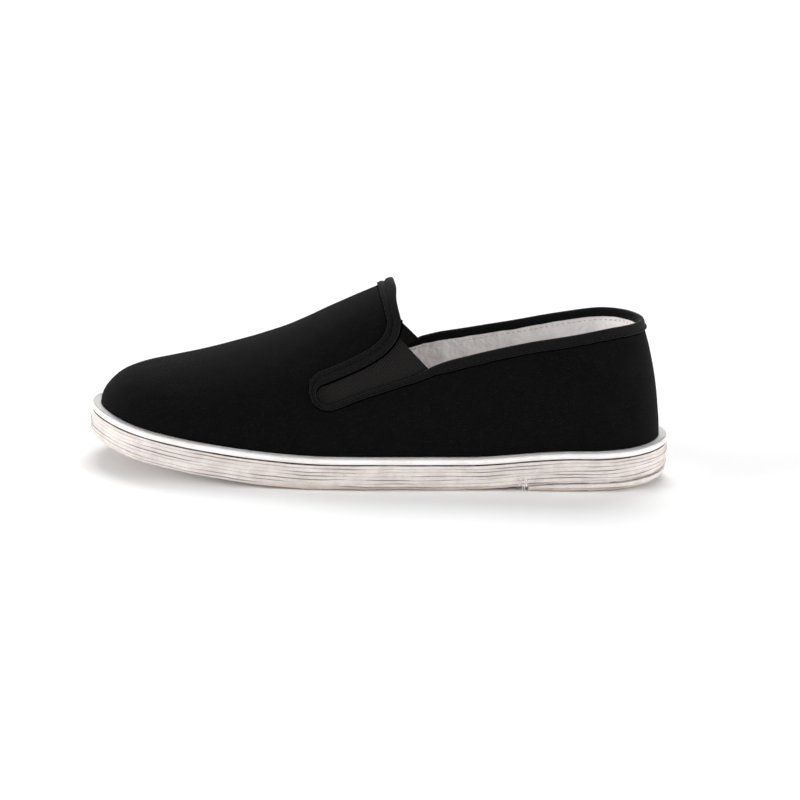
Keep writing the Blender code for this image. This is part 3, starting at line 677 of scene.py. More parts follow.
def closed_up(obj):
    """Fills a piece's open ends and turns its faces outwards."""
    pick_only(obj)
    bpy.ops.object.mode_set(mode="EDIT")
    bpy.ops.mesh.select_all(action="DESELECT")
    bpy.ops.mesh.select_non_manifold(
        extend=False, use_wire=False, use_boundary=True, use_multi_face=False, use_non_contiguous=False,
        use_verts=False,
    )
    bpy.ops.mesh.fill_holes(sides=0)
    bpy.ops.mesh.select_all(action="SELECT")
    bpy.ops.mesh.normals_make_consistent(inside=False)
    bpy.ops.object.mode_set(mode="OBJECT")
    return obj


def smoothed(obj, degrees):
    """Shades a piece smooth except over edges sharper than that."""
    pick_only(obj)
    bpy.ops.object.shade_smooth_by_angle(angle=math.radians(degrees))


def turned_outwards(obj):
    """An open cloth wall round the foot, with its faces turned to the outside."""
    mesh = obj.data
    centres, normals = np.empty((2, len(mesh.polygons) * 3))
    mesh.polygons.foreach_get("center", centres)
    mesh.polygons.foreach_get("normal", normals)
    centres, normals = centres.reshape(-1, 3), normals.reshape(-1, 3)
    inwards = np.sum(normals * (centres - spine(centres)), axis=1).mean() < 0
    if inwards:
        pick_only(obj)
        bpy.ops.object.mode_set(mode="EDIT")
        bpy.ops.mesh.select_all(action="SELECT")
        bpy.ops.mesh.flip_normals()
        bpy.ops.object.mode_set(mode="OBJECT")
    return obj


# How far behind their top ends the upper's lines reach the foot line, as shares of the last's length,
# and the shares of all lines that go to the throat edge and to the gore's mouth
THROAT_FOOT_LAG = 0.115
QUARTER_FOOT_LAG = 0.03
THROAT_COLUMNS_SHARE = 0.46
MOUTH_COLUMNS_SHARE = 0.06

# How far the elastic's upper corner stands out past the tongue's rounded corner, along and up
ELASTIC_CORNER_REACH = (0.0040, 0.0024)

# How far the slots' cutter goes: past its mouth at both edges, along and up, and off the last and into it
CUTTER_LOWER_REACH = (0.004, 0.006)
CUTTER_UPPER_REACH = (0.0035, 0.0035)
CUTTER_RISE = 0.005
CUTTER_DEPTH = -0.007


def gore_sheet(side, grow, past_mouth, rows, across):
    """Points of a gore's slot on the last's surface, from its tip to its mouth, and their places."""
    lower, upper = slot_edges(side, grow)
    if not past_mouth:
        upper = upper[: 1 + np.argmax(upper[:, 1] > THROAT_CORNER_HEIGHT)]
        upper = np.concatenate([upper, [upper[-1] + ELASTIC_CORNER_REACH]])
    lower, upper = (resampled(edge, np.linspace(0, 1, rows) ** TIP_CROWDING) for edge in (lower, upper))
    if past_mouth:
        lower = np.concatenate([lower, [lower[-1] + CUTTER_LOWER_REACH]])
        upper = np.concatenate([upper, [upper[-1] + CUTTER_UPPER_REACH]])
    share = np.linspace(0, 1, across)
    flat = lower[:, None] + (upper - lower)[:, None] * share[None, :, None]
    surface = side_point(flat[..., 0], flat[..., 1], side)
    return surface, flat * 1000


def thickened_sheet(name, surface, places, outer_rise, inner_rise, material):
    """A closed sheet between two offsets from the last."""
    normals = surface_normal(surface)
    rise = cloth_rise(surface)
    outer = surface + normals * (rise + outer_rise)[..., None]
    inner = surface + normals * (rise + inner_rise)[..., None]
    stack = np.concatenate([outer, inner[:, ::-1], outer[:, :1]], axis=1)
    maps = np.concatenate([places, places[:, ::-1], places[:, :1]], axis=1)
    return closed_up(laid_grid(name, stack, maps, material, closed=False))


def slot_cutter(grow):
    """Both gores' slots as one solid, for cutting a layer of the upper."""
    cutters = []
    for side in (OUTER, INNER):
        sheet = gore_sheet(side, grow, True, CUTTER_ROWS, CUTTER_COLUMNS)
        cutters.append(thickened_sheet("slot_cutter", *sheet, CUTTER_RISE, CUTTER_DEPTH, "black_cotton"))
    pick_only(cutters[0])
    cutters[1].select_set(True)
    bpy.ops.object.join()
    return cutters[0]


def cut_slots(obj, grow):
    """Cuts both gores' slots, that much larger, through a layer of the upper."""
    cutter = slot_cutter(grow)
    finish_modifier(obj, "BOOLEAN", operation="DIFFERENCE", solver="EXACT", object=cutter)
    bpy.data.objects.remove(cutter)


def dress(obj, slot, *nodes):
    """The piece rides with the shoe and stands for the nodes, which are hidden. The slot is not used."""
    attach(obj, "root")
    if nodes:
        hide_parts(*nodes)


def make_upper():
    """Outer cloth and lining, each a wall of its own thickness, with the slots cut for the elastic."""
    grid = wall_grid()
    places = grid_places(grid)
    normals = surface_normal(grid)
    normals[:, 0, 2] = 0
    normals = unit(normals)
    rise = cloth_rise(grid)
    fine = np.minimum(np.arange(GIRTH_ROWS) / 3, 1)[None, :]
    outside = grid + normals * rise[..., None]
    soft = LINING_SAG * smooth_waves(grid, 0.020, 21) + LINING_RIPPLE * smooth_waves(grid, 0.007, 22)
    inside = grid + normals * (rise - LINING_TOP - np.abs(soft) * fine)[..., None]
    inside = inside[:, : GIRTH_ROWS - 1]
    inside[:, 0, 2] = bed_height(inside[:, 0, 0]) + SEAT_GAP
    for name, points, material, thickness, slot_growth, slot in (
        ("upper_cloth", outside, "black_cotton", CLOTH_THICKNESS, CLOTH_SLOT_GROWTH, "black_cotton"),
        ("upper_lining", inside, "lining_cotton", LINING_THICKNESS, LINING_SLOT_GROWTH, "white_cotton"),
    ):
        sheet = laid_grid(name, points, places[:, : points.shape[1]], material, closed=False)
        wall = turned_outwards(sheet)
        finish_modifier(wall, "SOLIDIFY", thickness=thickness, offset=-1.0, use_even_offset=False)
        cut_slots(wall, slot_growth)
        smoothed(wall, 50)
        dress(wall, slot, "upper")


def collar_loop(throat_count, quarter_count, slot_count):
    """The closed line of the cloth's cut edge, from the back seam by the outer side, and its slot tips."""
    line, tips = [], []
    for side in (OUTER, INNER):
        shares = np.linspace(0, 1, slot_count) ** TIP_CROWDING
        lower, upper = (resampled(edge, shares) for edge in slot_edges(side, 0.0))
        slot = np.concatenate([lower[-1:0:-1], upper])
        top = top_line_point(np.linspace(1, 0, quarter_count + 1), side)
        below_round = np.arange(throat_count, -1, -1) / throat_count
        throat = throat_point(below_round[below_round < THROAT_ROUND_SHARE - THROAT_ROUND_GAP], side)
        half = np.concatenate([top[:-1], side_point(slot[:, 0], slot[:, 1], side), throat])
        tip = len(top) - 1 + len(lower) - 1
        if side == OUTER:
            tips.append(tip)
            line = half
        else:
            tips.append(len(line) - 1 + len(half) - 1 - tip)
            line = np.concatenate([line, half[-2:0:-1]])
    return line, tips


def towards_cloth(line):
    """Directions on the surface, square to the closed cut edge, that point away from the opening."""
    before = line - np.roll(line, 1, axis=0)
    after = np.roll(line, -1, axis=0) - line
    across = unit(np.cross(surface_normal(line), unit(before) + unit(after)))
    return across if across[0, 2] < 0 else -across


def evened(line, directions, count):
    """A line and its directions at even steps of its length."""
    run = run_along(line)
    at = np.linspace(0, run[-1], count)
    return places_along(line, run, at), unit(places_along(directions, run, at)), at


def rounded_section(corners, count):
    """A closed section through the given corners, rounded by halving its corners."""
    section = np.array(corners, float)
    for _ in range(count):
        following = np.roll(section, -1, axis=0)
        section = np.stack([section * 0.75 + following * 0.25, section * 0.25 + following * 0.75], axis=1)
        section = section.reshape(-1, 2)
    return np.concatenate([section, section[:1]])


def edging(name, edge, into_cloth, section, material, waver=0.0, narrow=1.0, drawn_in=0.0):
    """A folded strip along the cut edge. The section's numbers are millimetres into the cloth and off it."""
    rings = []
    widest = section[:, 0].max() / 1000
    for inwards, off in section / 1000:
        reach = widest - drawn_in - (widest - inwards) * narrow + waver * (inwards > 0.001)
        foot = edge + into_cloth * np.reshape(reach, (-1, 1))
        foot = onto_surface(foot) if inwards > 0 else foot
        root = foot if inwards > 0 else edge
        rings.append(foot + surface_normal(root) * (off + cloth_rise(root))[:, None])
    places = np.stack(np.broadcast_arrays(run_along(edge) * 1000, run_along(section)[:, None]), axis=-1)
    return closed_up(laid_grid(name, np.array(rings), places, material, closed=False))


# Cross-sections of the two edgings, as millimetres into the cloth from its cut edge and off its face
HEM_SECTION = (
    (5.3, 0.05), (5.35, 0.70), (4.7, 1.20), (3.7, 1.30), (2.9, 0.85), (2.5, 0.35), (2.1, 0.85),
    (1.3, 1.30), (0.3, 1.25), (-0.8, 0.75), (-1.1, -0.5), (-0.9, -1.6), (-0.2, -2.1), (1.5, -2.2),
    (2.4, -2.15), (2.4, -1.85), (-0.1, -1.6), (-0.2, 0.05),
)
BINDING_SECTION = (
    (3.8, 0.05), (4.05, 0.70), (3.75, 1.35), (3.2, 1.35), (2.8, 0.80), (1.6, 0.95), (0.4, 1.0),
    (-0.6, 0.75), (-1.1, -0.3), (-1.0, -1.4), (-0.4, -2.1), (1.2, -2.35), (2.6, -2.45), (3.0, -2.2),
    (2.9, -1.9), (0.0, -1.85), (-0.2, 0.05),
)


# Thin strips of painted shade under their outer edges and under the hem's fold, in the same millimetres
HEM_PAINTED_SHADE = ((5.75, 0.02), (5.75, 0.10), (5.2, 0.16), (5.2, 0.02))
BINDING_PAINTED_SHADE = ((4.55, 0.02), (4.55, 0.12), (3.8, 0.22), (3.8, 0.02))
FOLD_PAINTED_SHADE = ((-1.75, -0.95), (-1.75, -0.80), (-0.95, -0.10), (-0.6, -0.95))

HEM_CREST_RUN = 0.0060  # half the stretch over the ridge where the hem is widest
HEM_CREST_FADE = 0.0085
HEM_CREST_WIDENING = 0.27
HEM_TIP_RUN = 0.0085  # stretch over which the hem narrows to the binding's width at each slot's tip
HEM_TIP_NARROWING = 0.42
HEM_TIP_DRAW = 0.0013  # how far its outer edge is drawn in there
FOLD_TIP_DRAW = 0.0026  # how far the painted shade under its fold moves into the cloth there
FOLD_SHADE_START = 0.0275  # from the hem's middle, where the fold starts to lie on the elastic and its painted shade starts
SLOT_EDGE_RUN = 0.052  # the slot's lower edge, where the elastic's own edge half hides the binding
SLOT_EDGE_NARROWING = 0.50


def make_edgings():
    """The tongue's turned hem from slot tip to slot tip, the binding round the heel, and strips of painted
    shade along them.
    """
    line, (outer_tip, inner_tip) = collar_loop(THROAT_STATIONS, QUARTER_STATIONS, SLOT_STATIONS)
    across = towards_cloth(line)
    hem = np.arange(outer_tip, inner_tip + 1)
    top = np.arange(inner_tip, outer_tip + len(line) + 1) % len(line)
    hem_line = evened(line[hem], across[hem], EDGE_STATIONS)
    top_line = evened(line[top], across[top], int(EDGE_STATIONS * 1.5))

    run = hem_line[2]
    middle = np.abs(run - run[-1] / 2)
    widening = HEM_CREST_WIDENING * np.exp(-((np.maximum(middle - HEM_CREST_RUN, 0) / HEM_CREST_FADE) ** 2))
    tip = 1 - smooth_step(np.minimum(run, run[-1] - run) / HEM_TIP_RUN)
    hem_width = (1 + widening) * (1 - tip) + HEM_TIP_NARROWING * tip
    folded_edge("tongue_hem", hem_line, HEM_SECTION, HEM_PAINTED_SHADE, hem_width, HEM_TIP_DRAW * tip)
    # painted shade: a flat black strip along the fold's inner edge, where it lies on the elastic
    fold_shade = closed_section(FOLD_PAINTED_SHADE)
    for side, half in ((OUTER, run < run[-1] / 2), (INNER, run > run[-1] / 2)):
        at = np.flatnonzero(half & (middle > FOLD_SHADE_START))[4:-4]
        drawn = -FOLD_TIP_DRAW * tip[at]
        edge, into = hem_line[0][at], hem_line[1][at]
        painted_shade = edging(f"gore_{side}_joint", edge, into, fold_shade, "seam_shade", drawn_in=drawn)
        dress(painted_shade, "black_elastic")

    run = top_line[2]
    past_slot = (np.minimum(run, run[-1] - run) - SLOT_EDGE_RUN * 0.80) / (SLOT_EDGE_RUN * 0.5)
    top_width = SLOT_EDGE_NARROWING + (1 - SLOT_EDGE_NARROWING) * smooth_step(past_slot)
    folded_edge("topline_binding", top_line, BINDING_SECTION, BINDING_PAINTED_SHADE, top_width, 0 * run)
    return hem_line, top_line


def closed_section(corners):
    """A section's corners with the first one repeated."""
    return np.array(corners + corners[:1])


def folded_edge(node, line, corners, shade_corners, width, drawn_in):
    """One edging on its node, and a strip of painted shade under its outer edge, which stops short of its
    ends.
    """
    edge, into, _ = line
    waver = 0.00012 * smooth_waves(edge, 0.011, 31)
    section = rounded_section(corners, 1)
    fold = edging(f"{node}_fold", edge, into, section, "tape", waver, width, drawn_in)
    smoothed(fold, 60)
    dress(fold, "black_cotton", node)
    short = slice(6, -6)
    # painted shade: a flat black strip under the outer edge of the fold
    painted_shade = edging(
        f"{node}_joint", edge[short], into[short], closed_section(shade_corners), "seam_shade", waver[short],
        drawn_in=drawn_in[short],
    )
    dress(painted_shade, "black_cotton")


def make_gores():
    """The elastic of both gores, tucked behind the cloth round its slot."""
    for side in (OUTER, INNER):
        surface, places = gore_sheet(side, ELASTIC_TUCK, False, GORE_ROWS, GORE_COLUMNS)
        inner = -(ELASTIC_TOP + ELASTIC_THICKNESS)
        name = f"gore_{side}_elastic"
        obj = thickened_sheet(name, surface, places, -ELASTIC_TOP, inner, "black_elastic")
        smoothed(obj, 50)
        dress(obj, "black_elastic", f"gore_{side}")


def ply_section(top, thickness, margin, crown, points):
    """One side's edge of a ply, from its upper face to its lower: depth and margin."""
    turn = np.linspace(0, math.pi, points)
    return [(top + thickness * (1 - math.cos(t)) / 2, margin - crown * (1 - math.sin(t))) for t in turn]


def ply_height(x, depth):
    """Height of a ply's face at a depth under the foot bed. The heel plies thin out towards their front."""
    past_stack = max(depth - STACK_HEIGHT - SEAT_GAP, 0.0)
    thinned = HEEL_STACK_HEIGHT * (1 - heel_rise(x)) * past_stack / HEEL_PRESSED_HEIGHT
    return bed_height(x) - depth + thinned


def plied_slab(name, turns, section, across, material, ragged, closed_front=False):
    """A flat piece bent to the foot bed: a ring of section points for each station along the shoe."""
    depths, margins = np.array(section).T
    count = len(turns)
    sides, cracks = [], []
    for turn in (turns, 2 * math.pi - turns):
        rings = np.empty((count, len(section), 3))
        for k, (depth, margin) in enumerate(zip(depths, margins)):
            plan = outline(turn, margin)
            plan[:, 1] -= MIDDLE_SHIFT
            rings[:, k, :2] = plan
            rings[:, k, 2] = ply_height(plan[:, 0], depth)
        core = np.clip(rings[..., 0], -SOLE_CORE_REACH, SOLE_CORE_REACH)
        centre = np.stack([core, 0 * core, rings[..., 2]], axis=-1)
        out = unit(rings - centre)
        push, lift, crack = ragged(rings, depths[None, :])
        rings = rings + out * push[..., None]
        rings[..., 2] += lift
        sides.append(rings)
        cracks.append(crack)
    outer, inner = sides
    share = np.linspace(0, 1, across)[1:-1]
    top = outer[:, :1] + (inner[:, :1] - outer[:, :1]) * share[None, :, None]
    bottom = inner[:, -1:] + (outer[:, -1:] - inner[:, -1:]) * share[None, :, None]
    for cap, depth in ((top, depths[0]), (bottom, depths[-1])):
        cap[..., 2] = ply_height(cap[..., 0], depth)
    ring = np.concatenate([top, inner, bottom, outer[:, ::-1], top[:, :1]], axis=1)
    run = run_along(outer[:, 0]) * 1000
    down = np.concatenate([[0], np.cumsum(np.abs(np.diff(depths)) + np.abs(np.diff(margins)))]) * 1000
    edge_map = np.stack(np.broadcast_arrays(run[:, None], down[None, :]), axis=-1)
    above, below = top[..., :2] * 1000, bottom[..., :2] * 1000
    places = np.concatenate([above, edge_map, below, edge_map[:, ::-1], above[:, :1]], axis=1)
    none = np.zeros((count, across - 2))
    marks = np.concatenate([none, cracks[1], none, cracks[0][:, ::-1], none[:, :1]], axis=1)
    obj = laid_grid(name, ring, places, material, closed=not closed_front, cracks=marks)
    if closed_front:
        closed_up(obj)
    smoothed(obj, 60)
    return obj


def calm(rings, _):
    """The soft unevenness of a bound or cut edge, without cracks."""
    push = 0.00008 * smooth_waves(rings, 0.018, 41)
    return push, 0.00005 * smooth_waves(rings, 0.022, 42), 0 * push


def frayed(rings, depths):
    """Raw ply edges: the cracks between plies wander and close up in places, the lowest edge is ragged."""
    place = (depths - TOP_PLY_THICKNESS - SEAT_GAP) / PLY_PITCH
    crack = np.exp(-(((place - np.round(place) + 0.09) / 0.13) ** 2)) * (place > 0.5)
    number = np.round(place)
    shifted = rings + np.stack([number * 0.037, number * 0.011, number * 0.019], axis=-1)
    closed = smooth_step(0.42 + 0.6 * smooth_waves(shifted, 0.030, 47))
    push = EDGE_UNEVENNESS * smooth_waves(rings, 0.012, 43)
    push = push + EDGE_ROUGHNESS * smooth_waves(shifted, 0.0035, 44)
    push = push + crack * closed * (PLY_CRACK - PLY_CROWN) * 0.85
    lift = PLY_WANDER * smooth_waves(shifted, 0.034, 45) + PLY_RIPPLE * smooth_waves(shifted, 0.009, 46)
    inner = np.clip((depths - TOP_PLY_THICKNESS - SEAT_GAP) / 0.0008, 0, 1)
    lowest = np.clip((depths.max() - depths) / 0.0004, 0, 1)
    ragged = (np.abs(smooth_waves(rings, 0.006, 48)) + np.abs(smooth_waves(rings, 0.024, 49))) * (1 - lowest)
    push = (push - RAGGED_DEPTH * ragged) * inner
    lift = lift * inner * lowest + RAGGED_LIFT * ragged
    # the third value is how much shade is painted into each crack
    return push, lift, crack * (0.25 + 0.75 * closed)


def pressed_plies(top, thickness, count, margin):
    """Edges of pasted plies: almost flush, a fine crack between each two, the lowest worn round."""
    section = []
    pitch = thickness + PLY_SEAM
    for k in range(count):
        section += ply_section(top + k * pitch, thickness + PLY_SEAM * 0.45, margin, PLY_CROWN, 6)
        if k < count - 1:
            section.append((top + (k + 1) * pitch - PLY_SEAM * 0.25, margin - PLY_CRACK))
    bottom = section[-1][0]
    worn = [WORN_EDGE * max(0.0, 1 - (bottom - depth) / WORN_RISE) ** 2 for depth, _ in section]
    return [(depth, out - wear) for (depth, out), wear in zip(section, worn)]


def make_sole():
    """The bound top ply, a line of painted shade in the gap under it, the plies, the heel's plies and the
    insole.
    """
    turns = np.linspace(0, math.pi, SOLE_EDGE_STATIONS)
    lip = SOLE_MARGIN + TOP_PLY_LIP
    band = ply_section(0.0, TOP_PLY_THICKNESS, lip, BAND_CROWN, 11)
    piece = plied_slab("top_ply_band", turns, band, 14, "bound_cotton", calm)
    dress(piece, "white_cotton", "top_ply")
    below = TOP_PLY_THICKNESS + SEAT_GAP
    # painted shade: a thin dark brown line in the gap under the bound ply's lip
    gap_shade_section = [(TOP_PLY_THICKNESS + SHADE_LINE_GAP, SOLE_MARGIN - 0.00030), (below + 0.00042, SOLE_MARGIN - 0.00026)]
    piece = plied_slab("gap_shade_line", turns, gap_shade_section, 6, "gap_shade", calm)
    dress(piece, "ply_cloth")
    stack = pressed_plies(below, PLY_THICKNESS, PLY_COUNT, SOLE_MARGIN)
    stack[0] = (below + 0.00034, SOLE_MARGIN - PLY_CROWN * 2)
    stack[1] = (below + 0.00040, SOLE_MARGIN - PLY_CROWN)
    piece = plied_slab("sole_plies", turns, stack, 30, "ply_cloth", frayed)
    dress(piece, "ply_cloth", "sole_stack")
    breast = turn_at((HEEL_BREAST_SHARE * SOLE_LENGTH - SOLE_LENGTH / 2 - LAST_TOE) / LAST_LENGTH)
    back = np.linspace(breast, math.pi, SOLE_EDGE_STATIONS // 2)
    lift = pressed_plies(STACK_HEIGHT + SEAT_GAP, PLY_THICKNESS, HEEL_PLY_COUNT, SOLE_MARGIN)
    piece = plied_slab("heel_plies", back, lift, 16, "ply_cloth", frayed, closed_front=True)
    dress(piece, "ply_cloth", "heel_lift")
    margin = -(CLOTH_WALL + INSOLE_CLEARANCE)
    sock = ply_section(-(SEAT_GAP + INSOLE_THICKNESS), INSOLE_THICKNESS, margin, SOCK_CROWN, 7)
    piece = plied_slab("insole_cloth", turns, sock, 40, "insole_cotton", calm)
    dress(piece, "insole_cotton", "insole")


def loose_piece(name, points, faces, material, slot):
    """Many stitches or fibres as one piece."""
    mesh = bpy.data.meshes.new(name)
    mesh.from_pydata(points, [], faces)
    mesh.shade_smooth()
    mesh.materials.append(MATERIALS[material])
    obj = bpy.data.objects.new(name, mesh)
    bpy.context.scene.collection.objects.link(obj)
    dress(obj, slot)


def stitch_shape(length, radius, height=1.0):
    """One stitch: a thread that dives into the cloth at both ends."""
    bpy.ops.object.select_all(action="DESELECT")
    bpy.ops.mesh.primitive_uv_sphere_add(segments=6, ring_count=6, radius=1.0)
    ball = bpy.context.object
    points = np.empty(len(ball.data.vertices) * 3)
    ball.data.vertices.foreach_get("co", points)
    points = points.reshape(-1, 3)[:, [2, 1, 0]] * (length / 2, radius, radius)
    points[:, 2] = points[:, 2] * height - radius * height * 0.9 * (points[:, 0] / (length / 2)) ** 2
    faces = [tuple(reversed(face.vertices)) for face in ball.data.polygons]
    bpy.data.objects.remove(ball)
    return points, faces


def stitched(name, seats, shape, material, slot, wander=0.0, seed=1):
    """Stitches at the given seats, each a point with its way along the seam and its way off the cloth."""
    points, faces = shape
    chance = np.random.default_rng(seed)
    corners, polygons = [], []
    for number, (seat, ahead, off) in enumerate(zip(*seats)):
        axes = np.stack([ahead, np.cross(off, ahead), off])
        turn = chance.normal(0, wander)
        cos, sin = math.cos(turn), math.sin(turn)
        turned = points @ np.array([[cos, sin, 0], [-sin, cos, 0], [0, 0, 1]])
        corners.append(turned * chance.uniform(0.9, 1.08) @ axes + seat)
        polygons += [[i + number * len(points) for i in face] for face in faces]
    loose_piece(name, np.concatenate(corners).tolist(), polygons, material, slot)


def seats_along(path, pitch, rise, skip=0.0):
    """Places for stitches along a path on the cloth: points, ways ahead, ways off."""
    run = run_along(path)
    at = np.arange(pitch / 2 + skip, run[-1] - skip, pitch)
    ahead = unit(places_along(path, run, at + pitch / 4) - places_along(path, run, at - pitch / 4))
    seat = onto_surface(places_along(path, run, at))
    off = surface_normal(seat)
    ahead = unit(ahead - off * np.sum(ahead * off, axis=1, keepdims=True))
    return seat + off * (rise + cloth_rise(seat))[:, None], ahead, off


# Sewing: how long and thick a stitch of each thread is, and the spacing of the stitches
SEAM_STITCH = (0.0021, 0.00024)
LINING_STITCH = (0.0019, 0.00022)
QUILTING_STITCH = (0.0042, 0.00045, 0.5)  # pressed to half its height by the floor
SEAM_PITCH = 0.0026
LINING_PITCH = 0.0027
GORE_PITCH = 0.0024

# Where the hem's two seams run: their number, how far into the cloth, and how far off it
HEM_SEAMS = ((1, 0.0025, 0.00060), (2, 0.0050, 0.00112))
HEM_SEAM_SKIP = 0.0075  # left free at both slot tips
BINDING_SEAM_INWARDS = 0.00275
BINDING_SEAM_RISE = 0.00082
LINING_SEAM_INWARDS = 0.0048


def make_seams(hem_line, top_line):
    """Stitch lines on the hem, round the gores, along the binding and on the lining."""
    thread = stitch_shape(*SEAM_STITCH)
    for number, inwards, rise in HEM_SEAMS:
        path = onto_surface(hem_line[0] + hem_line[1] * inwards)
        seats = seats_along(path, SEAM_PITCH, rise, HEM_SEAM_SKIP)
        stitched(f"hem_stitches_{number}", seats, thread, "black_thread", "black_cotton", 0.15, number)
    path = onto_surface(top_line[0] + top_line[1] * BINDING_SEAM_INWARDS)
    seats = seats_along(path, SEAM_PITCH, BINDING_SEAM_RISE, 0.002)
    stitched("binding_stitches", seats, thread, "black_thread", "black_cotton", 0.12, 5)
    path = onto_surface(top_line[0] + top_line[1] * LINING_SEAM_INWARDS)
    seat, ahead, off = seats_along(path, LINING_PITCH, -(LINING_TOP + LINING_THICKNESS + 0.0001), 0.004)
    lining_thread = stitch_shape(*LINING_STITCH)
    stitched("lining_stitches", (seat, ahead, -off), lining_thread, "white_thread", "white_cotton", 0.1, 8)
    for side in (OUTER, INNER):
        flat = slot_edges(side, 0.0004)[0][:-3][::-1]
        path = side_point(flat[:, 0], flat[:, 1], side)
        seats = seats_along(path, GORE_PITCH, -ELASTIC_TOP + 0.00005, 0.001)
        stitched(f"gore_{side}_stitches", seats, thread, "black_thread", "black_cotton", 0.12, 7)


def linear(code, alpha=1.0):
    """An sRGB hex colour as linear red, green, blue and alpha."""
    parts = [int(code[i : i + 2], 16) / 255 for i in (1, 3, 5)]
    return tuple(c / 12.92 if c <= 0.04045 else ((c + 0.055) / 1.055) ** 2.4 for c in parts) + (alpha,)


# Settings of a range that eases in and out
SOFTLY = {"interpolation_type": "SMOOTHSTEP"}


def new_material(name):
    """A material with its node tree, ready for its colours."""
    material = bpy.data.materials.new(name)
    material.use_nodes = True
    return material, material.node_tree


def add_node(tree, kind, settings=None, **inputs):
    """A node with its settings. Inputs are values or sockets, by name or by an underscore and number."""
    node = tree.nodes.new(kind)
    for name, value in (settings or {}).items():
        setattr(node, name, value)
    for name, value in inputs.items():
        socket = node.inputs[int(name[1:]) if name[0] == "_" else name.replace("_", " ")]
        if isinstance(value, bpy.types.NodeSocket):
            tree.links.new(value, socket)
        else:
            socket.default_value = linear(value) if isinstance(value, str) else value
    return node


def patched(tree, pattern, start, end, first, second, most=1.0):
    """One colour that passes into another where a pattern goes from start to end."""
    share = add_node(tree, "ShaderNodeMapRange", SOFTLY, _0=pattern, _1=start, _2=end, _4=most).outputs[0]
    return add_node(tree, "ShaderNodeMix", {"data_type": "RGBA"}, _0=share, _6=first, _7=second).outputs[2]


def surfaced(material, shade, relief, depth, **finish):
    """Gives a material its colour, its relief and its finish by the names of the shader's sockets.

    The relief is made of heights, each with its weight, and stands up by the depth in metres.
    """
    tree = material.node_tree
    shader = tree.nodes["Principled BSDF"]
    tree.links.new(shade, shader.inputs["Base Color"])
    for name, value in finish.items():
        socket = shader.inputs[name.replace("_", " ")]
        if isinstance(value, bpy.types.NodeSocket):
            tree.links.new(value, socket)
        else:
            socket.default_value = value
    total = 0.0
    for height, weight in relief:
        step = add_node(tree, "ShaderNodeMath", {"operation": "MULTIPLY_ADD"}, _0=height, _1=weight, _2=total)
        total = step.outputs[0]
    if relief:
        bump = add_node(tree, "ShaderNodeBump", Height=total, Strength=1.0, Distance=depth)
        tree.links.new(bump.outputs["Normal"], shader.inputs["Normal"])
    return material


# Millimetres between threads and between the elastic's ribs. The real ones are about half of that, too
# fine to show in the picture, so they are drawn coarser.
CLOTH_WEAVE = 0.9
BAND_WEAVE = 0.8
SOCK_WEAVE = 1.1
ELASTIC_RIBS = 1.2
RIB_SLANT = math.radians(38)
ONE_WAVE = 0.314  # scale of the wave texture that gives one wave in a millimetre


def woven_height(tree, pitch):
    """A plain weave in the piece's own millimetres: threads over and under at the given spacing."""
    place = add_node(tree, "ShaderNodeTexCoord").outputs["UV"]
    waves = []
    for direction in ("X", "Y"):
        wave = add_node(
            tree, "ShaderNodeTexWave", {"bands_direction": direction, "wave_profile": "SIN"},
            Vector=place, Scale=ONE_WAVE / pitch, Distortion=0.6, Detail=1.0, Detail_Scale=0.8,
        )
        waves.append(wave.outputs["Fac"])
    return add_node(tree, "ShaderNodeMath", {"operation": "MULTIPLY"}, _0=waves[0], _1=waves[1]).outputs[0]


def slanting_ribs(tree, pitch):
    """Ribs that cross at a slant, in the piece's own millimetres."""
    place = add_node(tree, "ShaderNodeTexCoord").outputs["UV"]
    ribs = []
    for slant in (RIB_SLANT, -RIB_SLANT):
        turned = add_node(tree, "ShaderNodeMapping", Vector=place, Rotation=(0, 0, slant)).outputs[0]
        wave = add_node(
            tree, "ShaderNodeTexWave", {"bands_direction": "X"},
            Vector=turned, Scale=ONE_WAVE / pitch, Distortion=0.4,
        )
        ribs.append(wave.outputs["Fac"])
    return add_node(tree, "ShaderNodeMath", {"operation": "MAXIMUM"}, _0=ribs[0], _1=ribs[1]).outputs[0]


def grain(tree, millimetres, detail=3.0, roughness=0.6):
    """Unevenness on the piece's own place, its grains about that many millimetres across."""
    place = add_node(tree, "ShaderNodeTexCoord").outputs["Object"]
    sizes = {"Scale": 1000.0 / millimetres, "Detail": detail, "Roughness": roughness}
    return add_node(tree, "ShaderNodeTexNoise", Vector=place, **sizes).outputs["Fac"]


def black_brushed_cotton():
    """Dyed cotton with a brushed face: nearly black, a soft pale nap at grazing angles, no gloss."""
    material, tree = new_material("black_brushed_cotton")
    flecks = grain(tree, 0.8, 2.0)
    shade = patched(tree, grain(tree, 9.0, 4.0), 0.35, 0.7, "#040404", "#060607")
    shade = patched(tree, flecks, 0.50, 0.72, shade, "#151517", 0.8)
    nap = add_node(tree, "ShaderNodeMapRange", SOFTLY, _0=flecks, _1=0.3, _2=0.7, _3=0.78, _4=0.95).outputs[0]
    relief = (woven_height(tree, CLOTH_WEAVE), 0.5), (grain(tree, 0.7), 0.9)
    return surfaced(
        material, shade, relief, 0.0003,
        Roughness=nap, Specular_IOR_Level=0.06, Sheen_Weight=0.03, Sheen_Roughness=0.3,
    )


def black_bias_tape():
    """Cotton tape folded over the cut edges. Its colour is painted a little lighter than the flat cloth's,
    for the light the fold catches, and it has more sheen.
    """
    material, tree = new_material("black_bias_tape")
    shade = patched(tree, grain(tree, 0.9, 2.0), 0.4, 0.75, "#040405", "#0d0d0f")
    relief = (woven_height(tree, CLOTH_WEAVE), 0.5), (grain(tree, 1.2), 0.8)
    return surfaced(
        material, shade, relief, 0.00025,
        Roughness=0.8, Specular_IOR_Level=0.12, Sheen_Weight=0.06, Sheen_Roughness=0.35,
    )


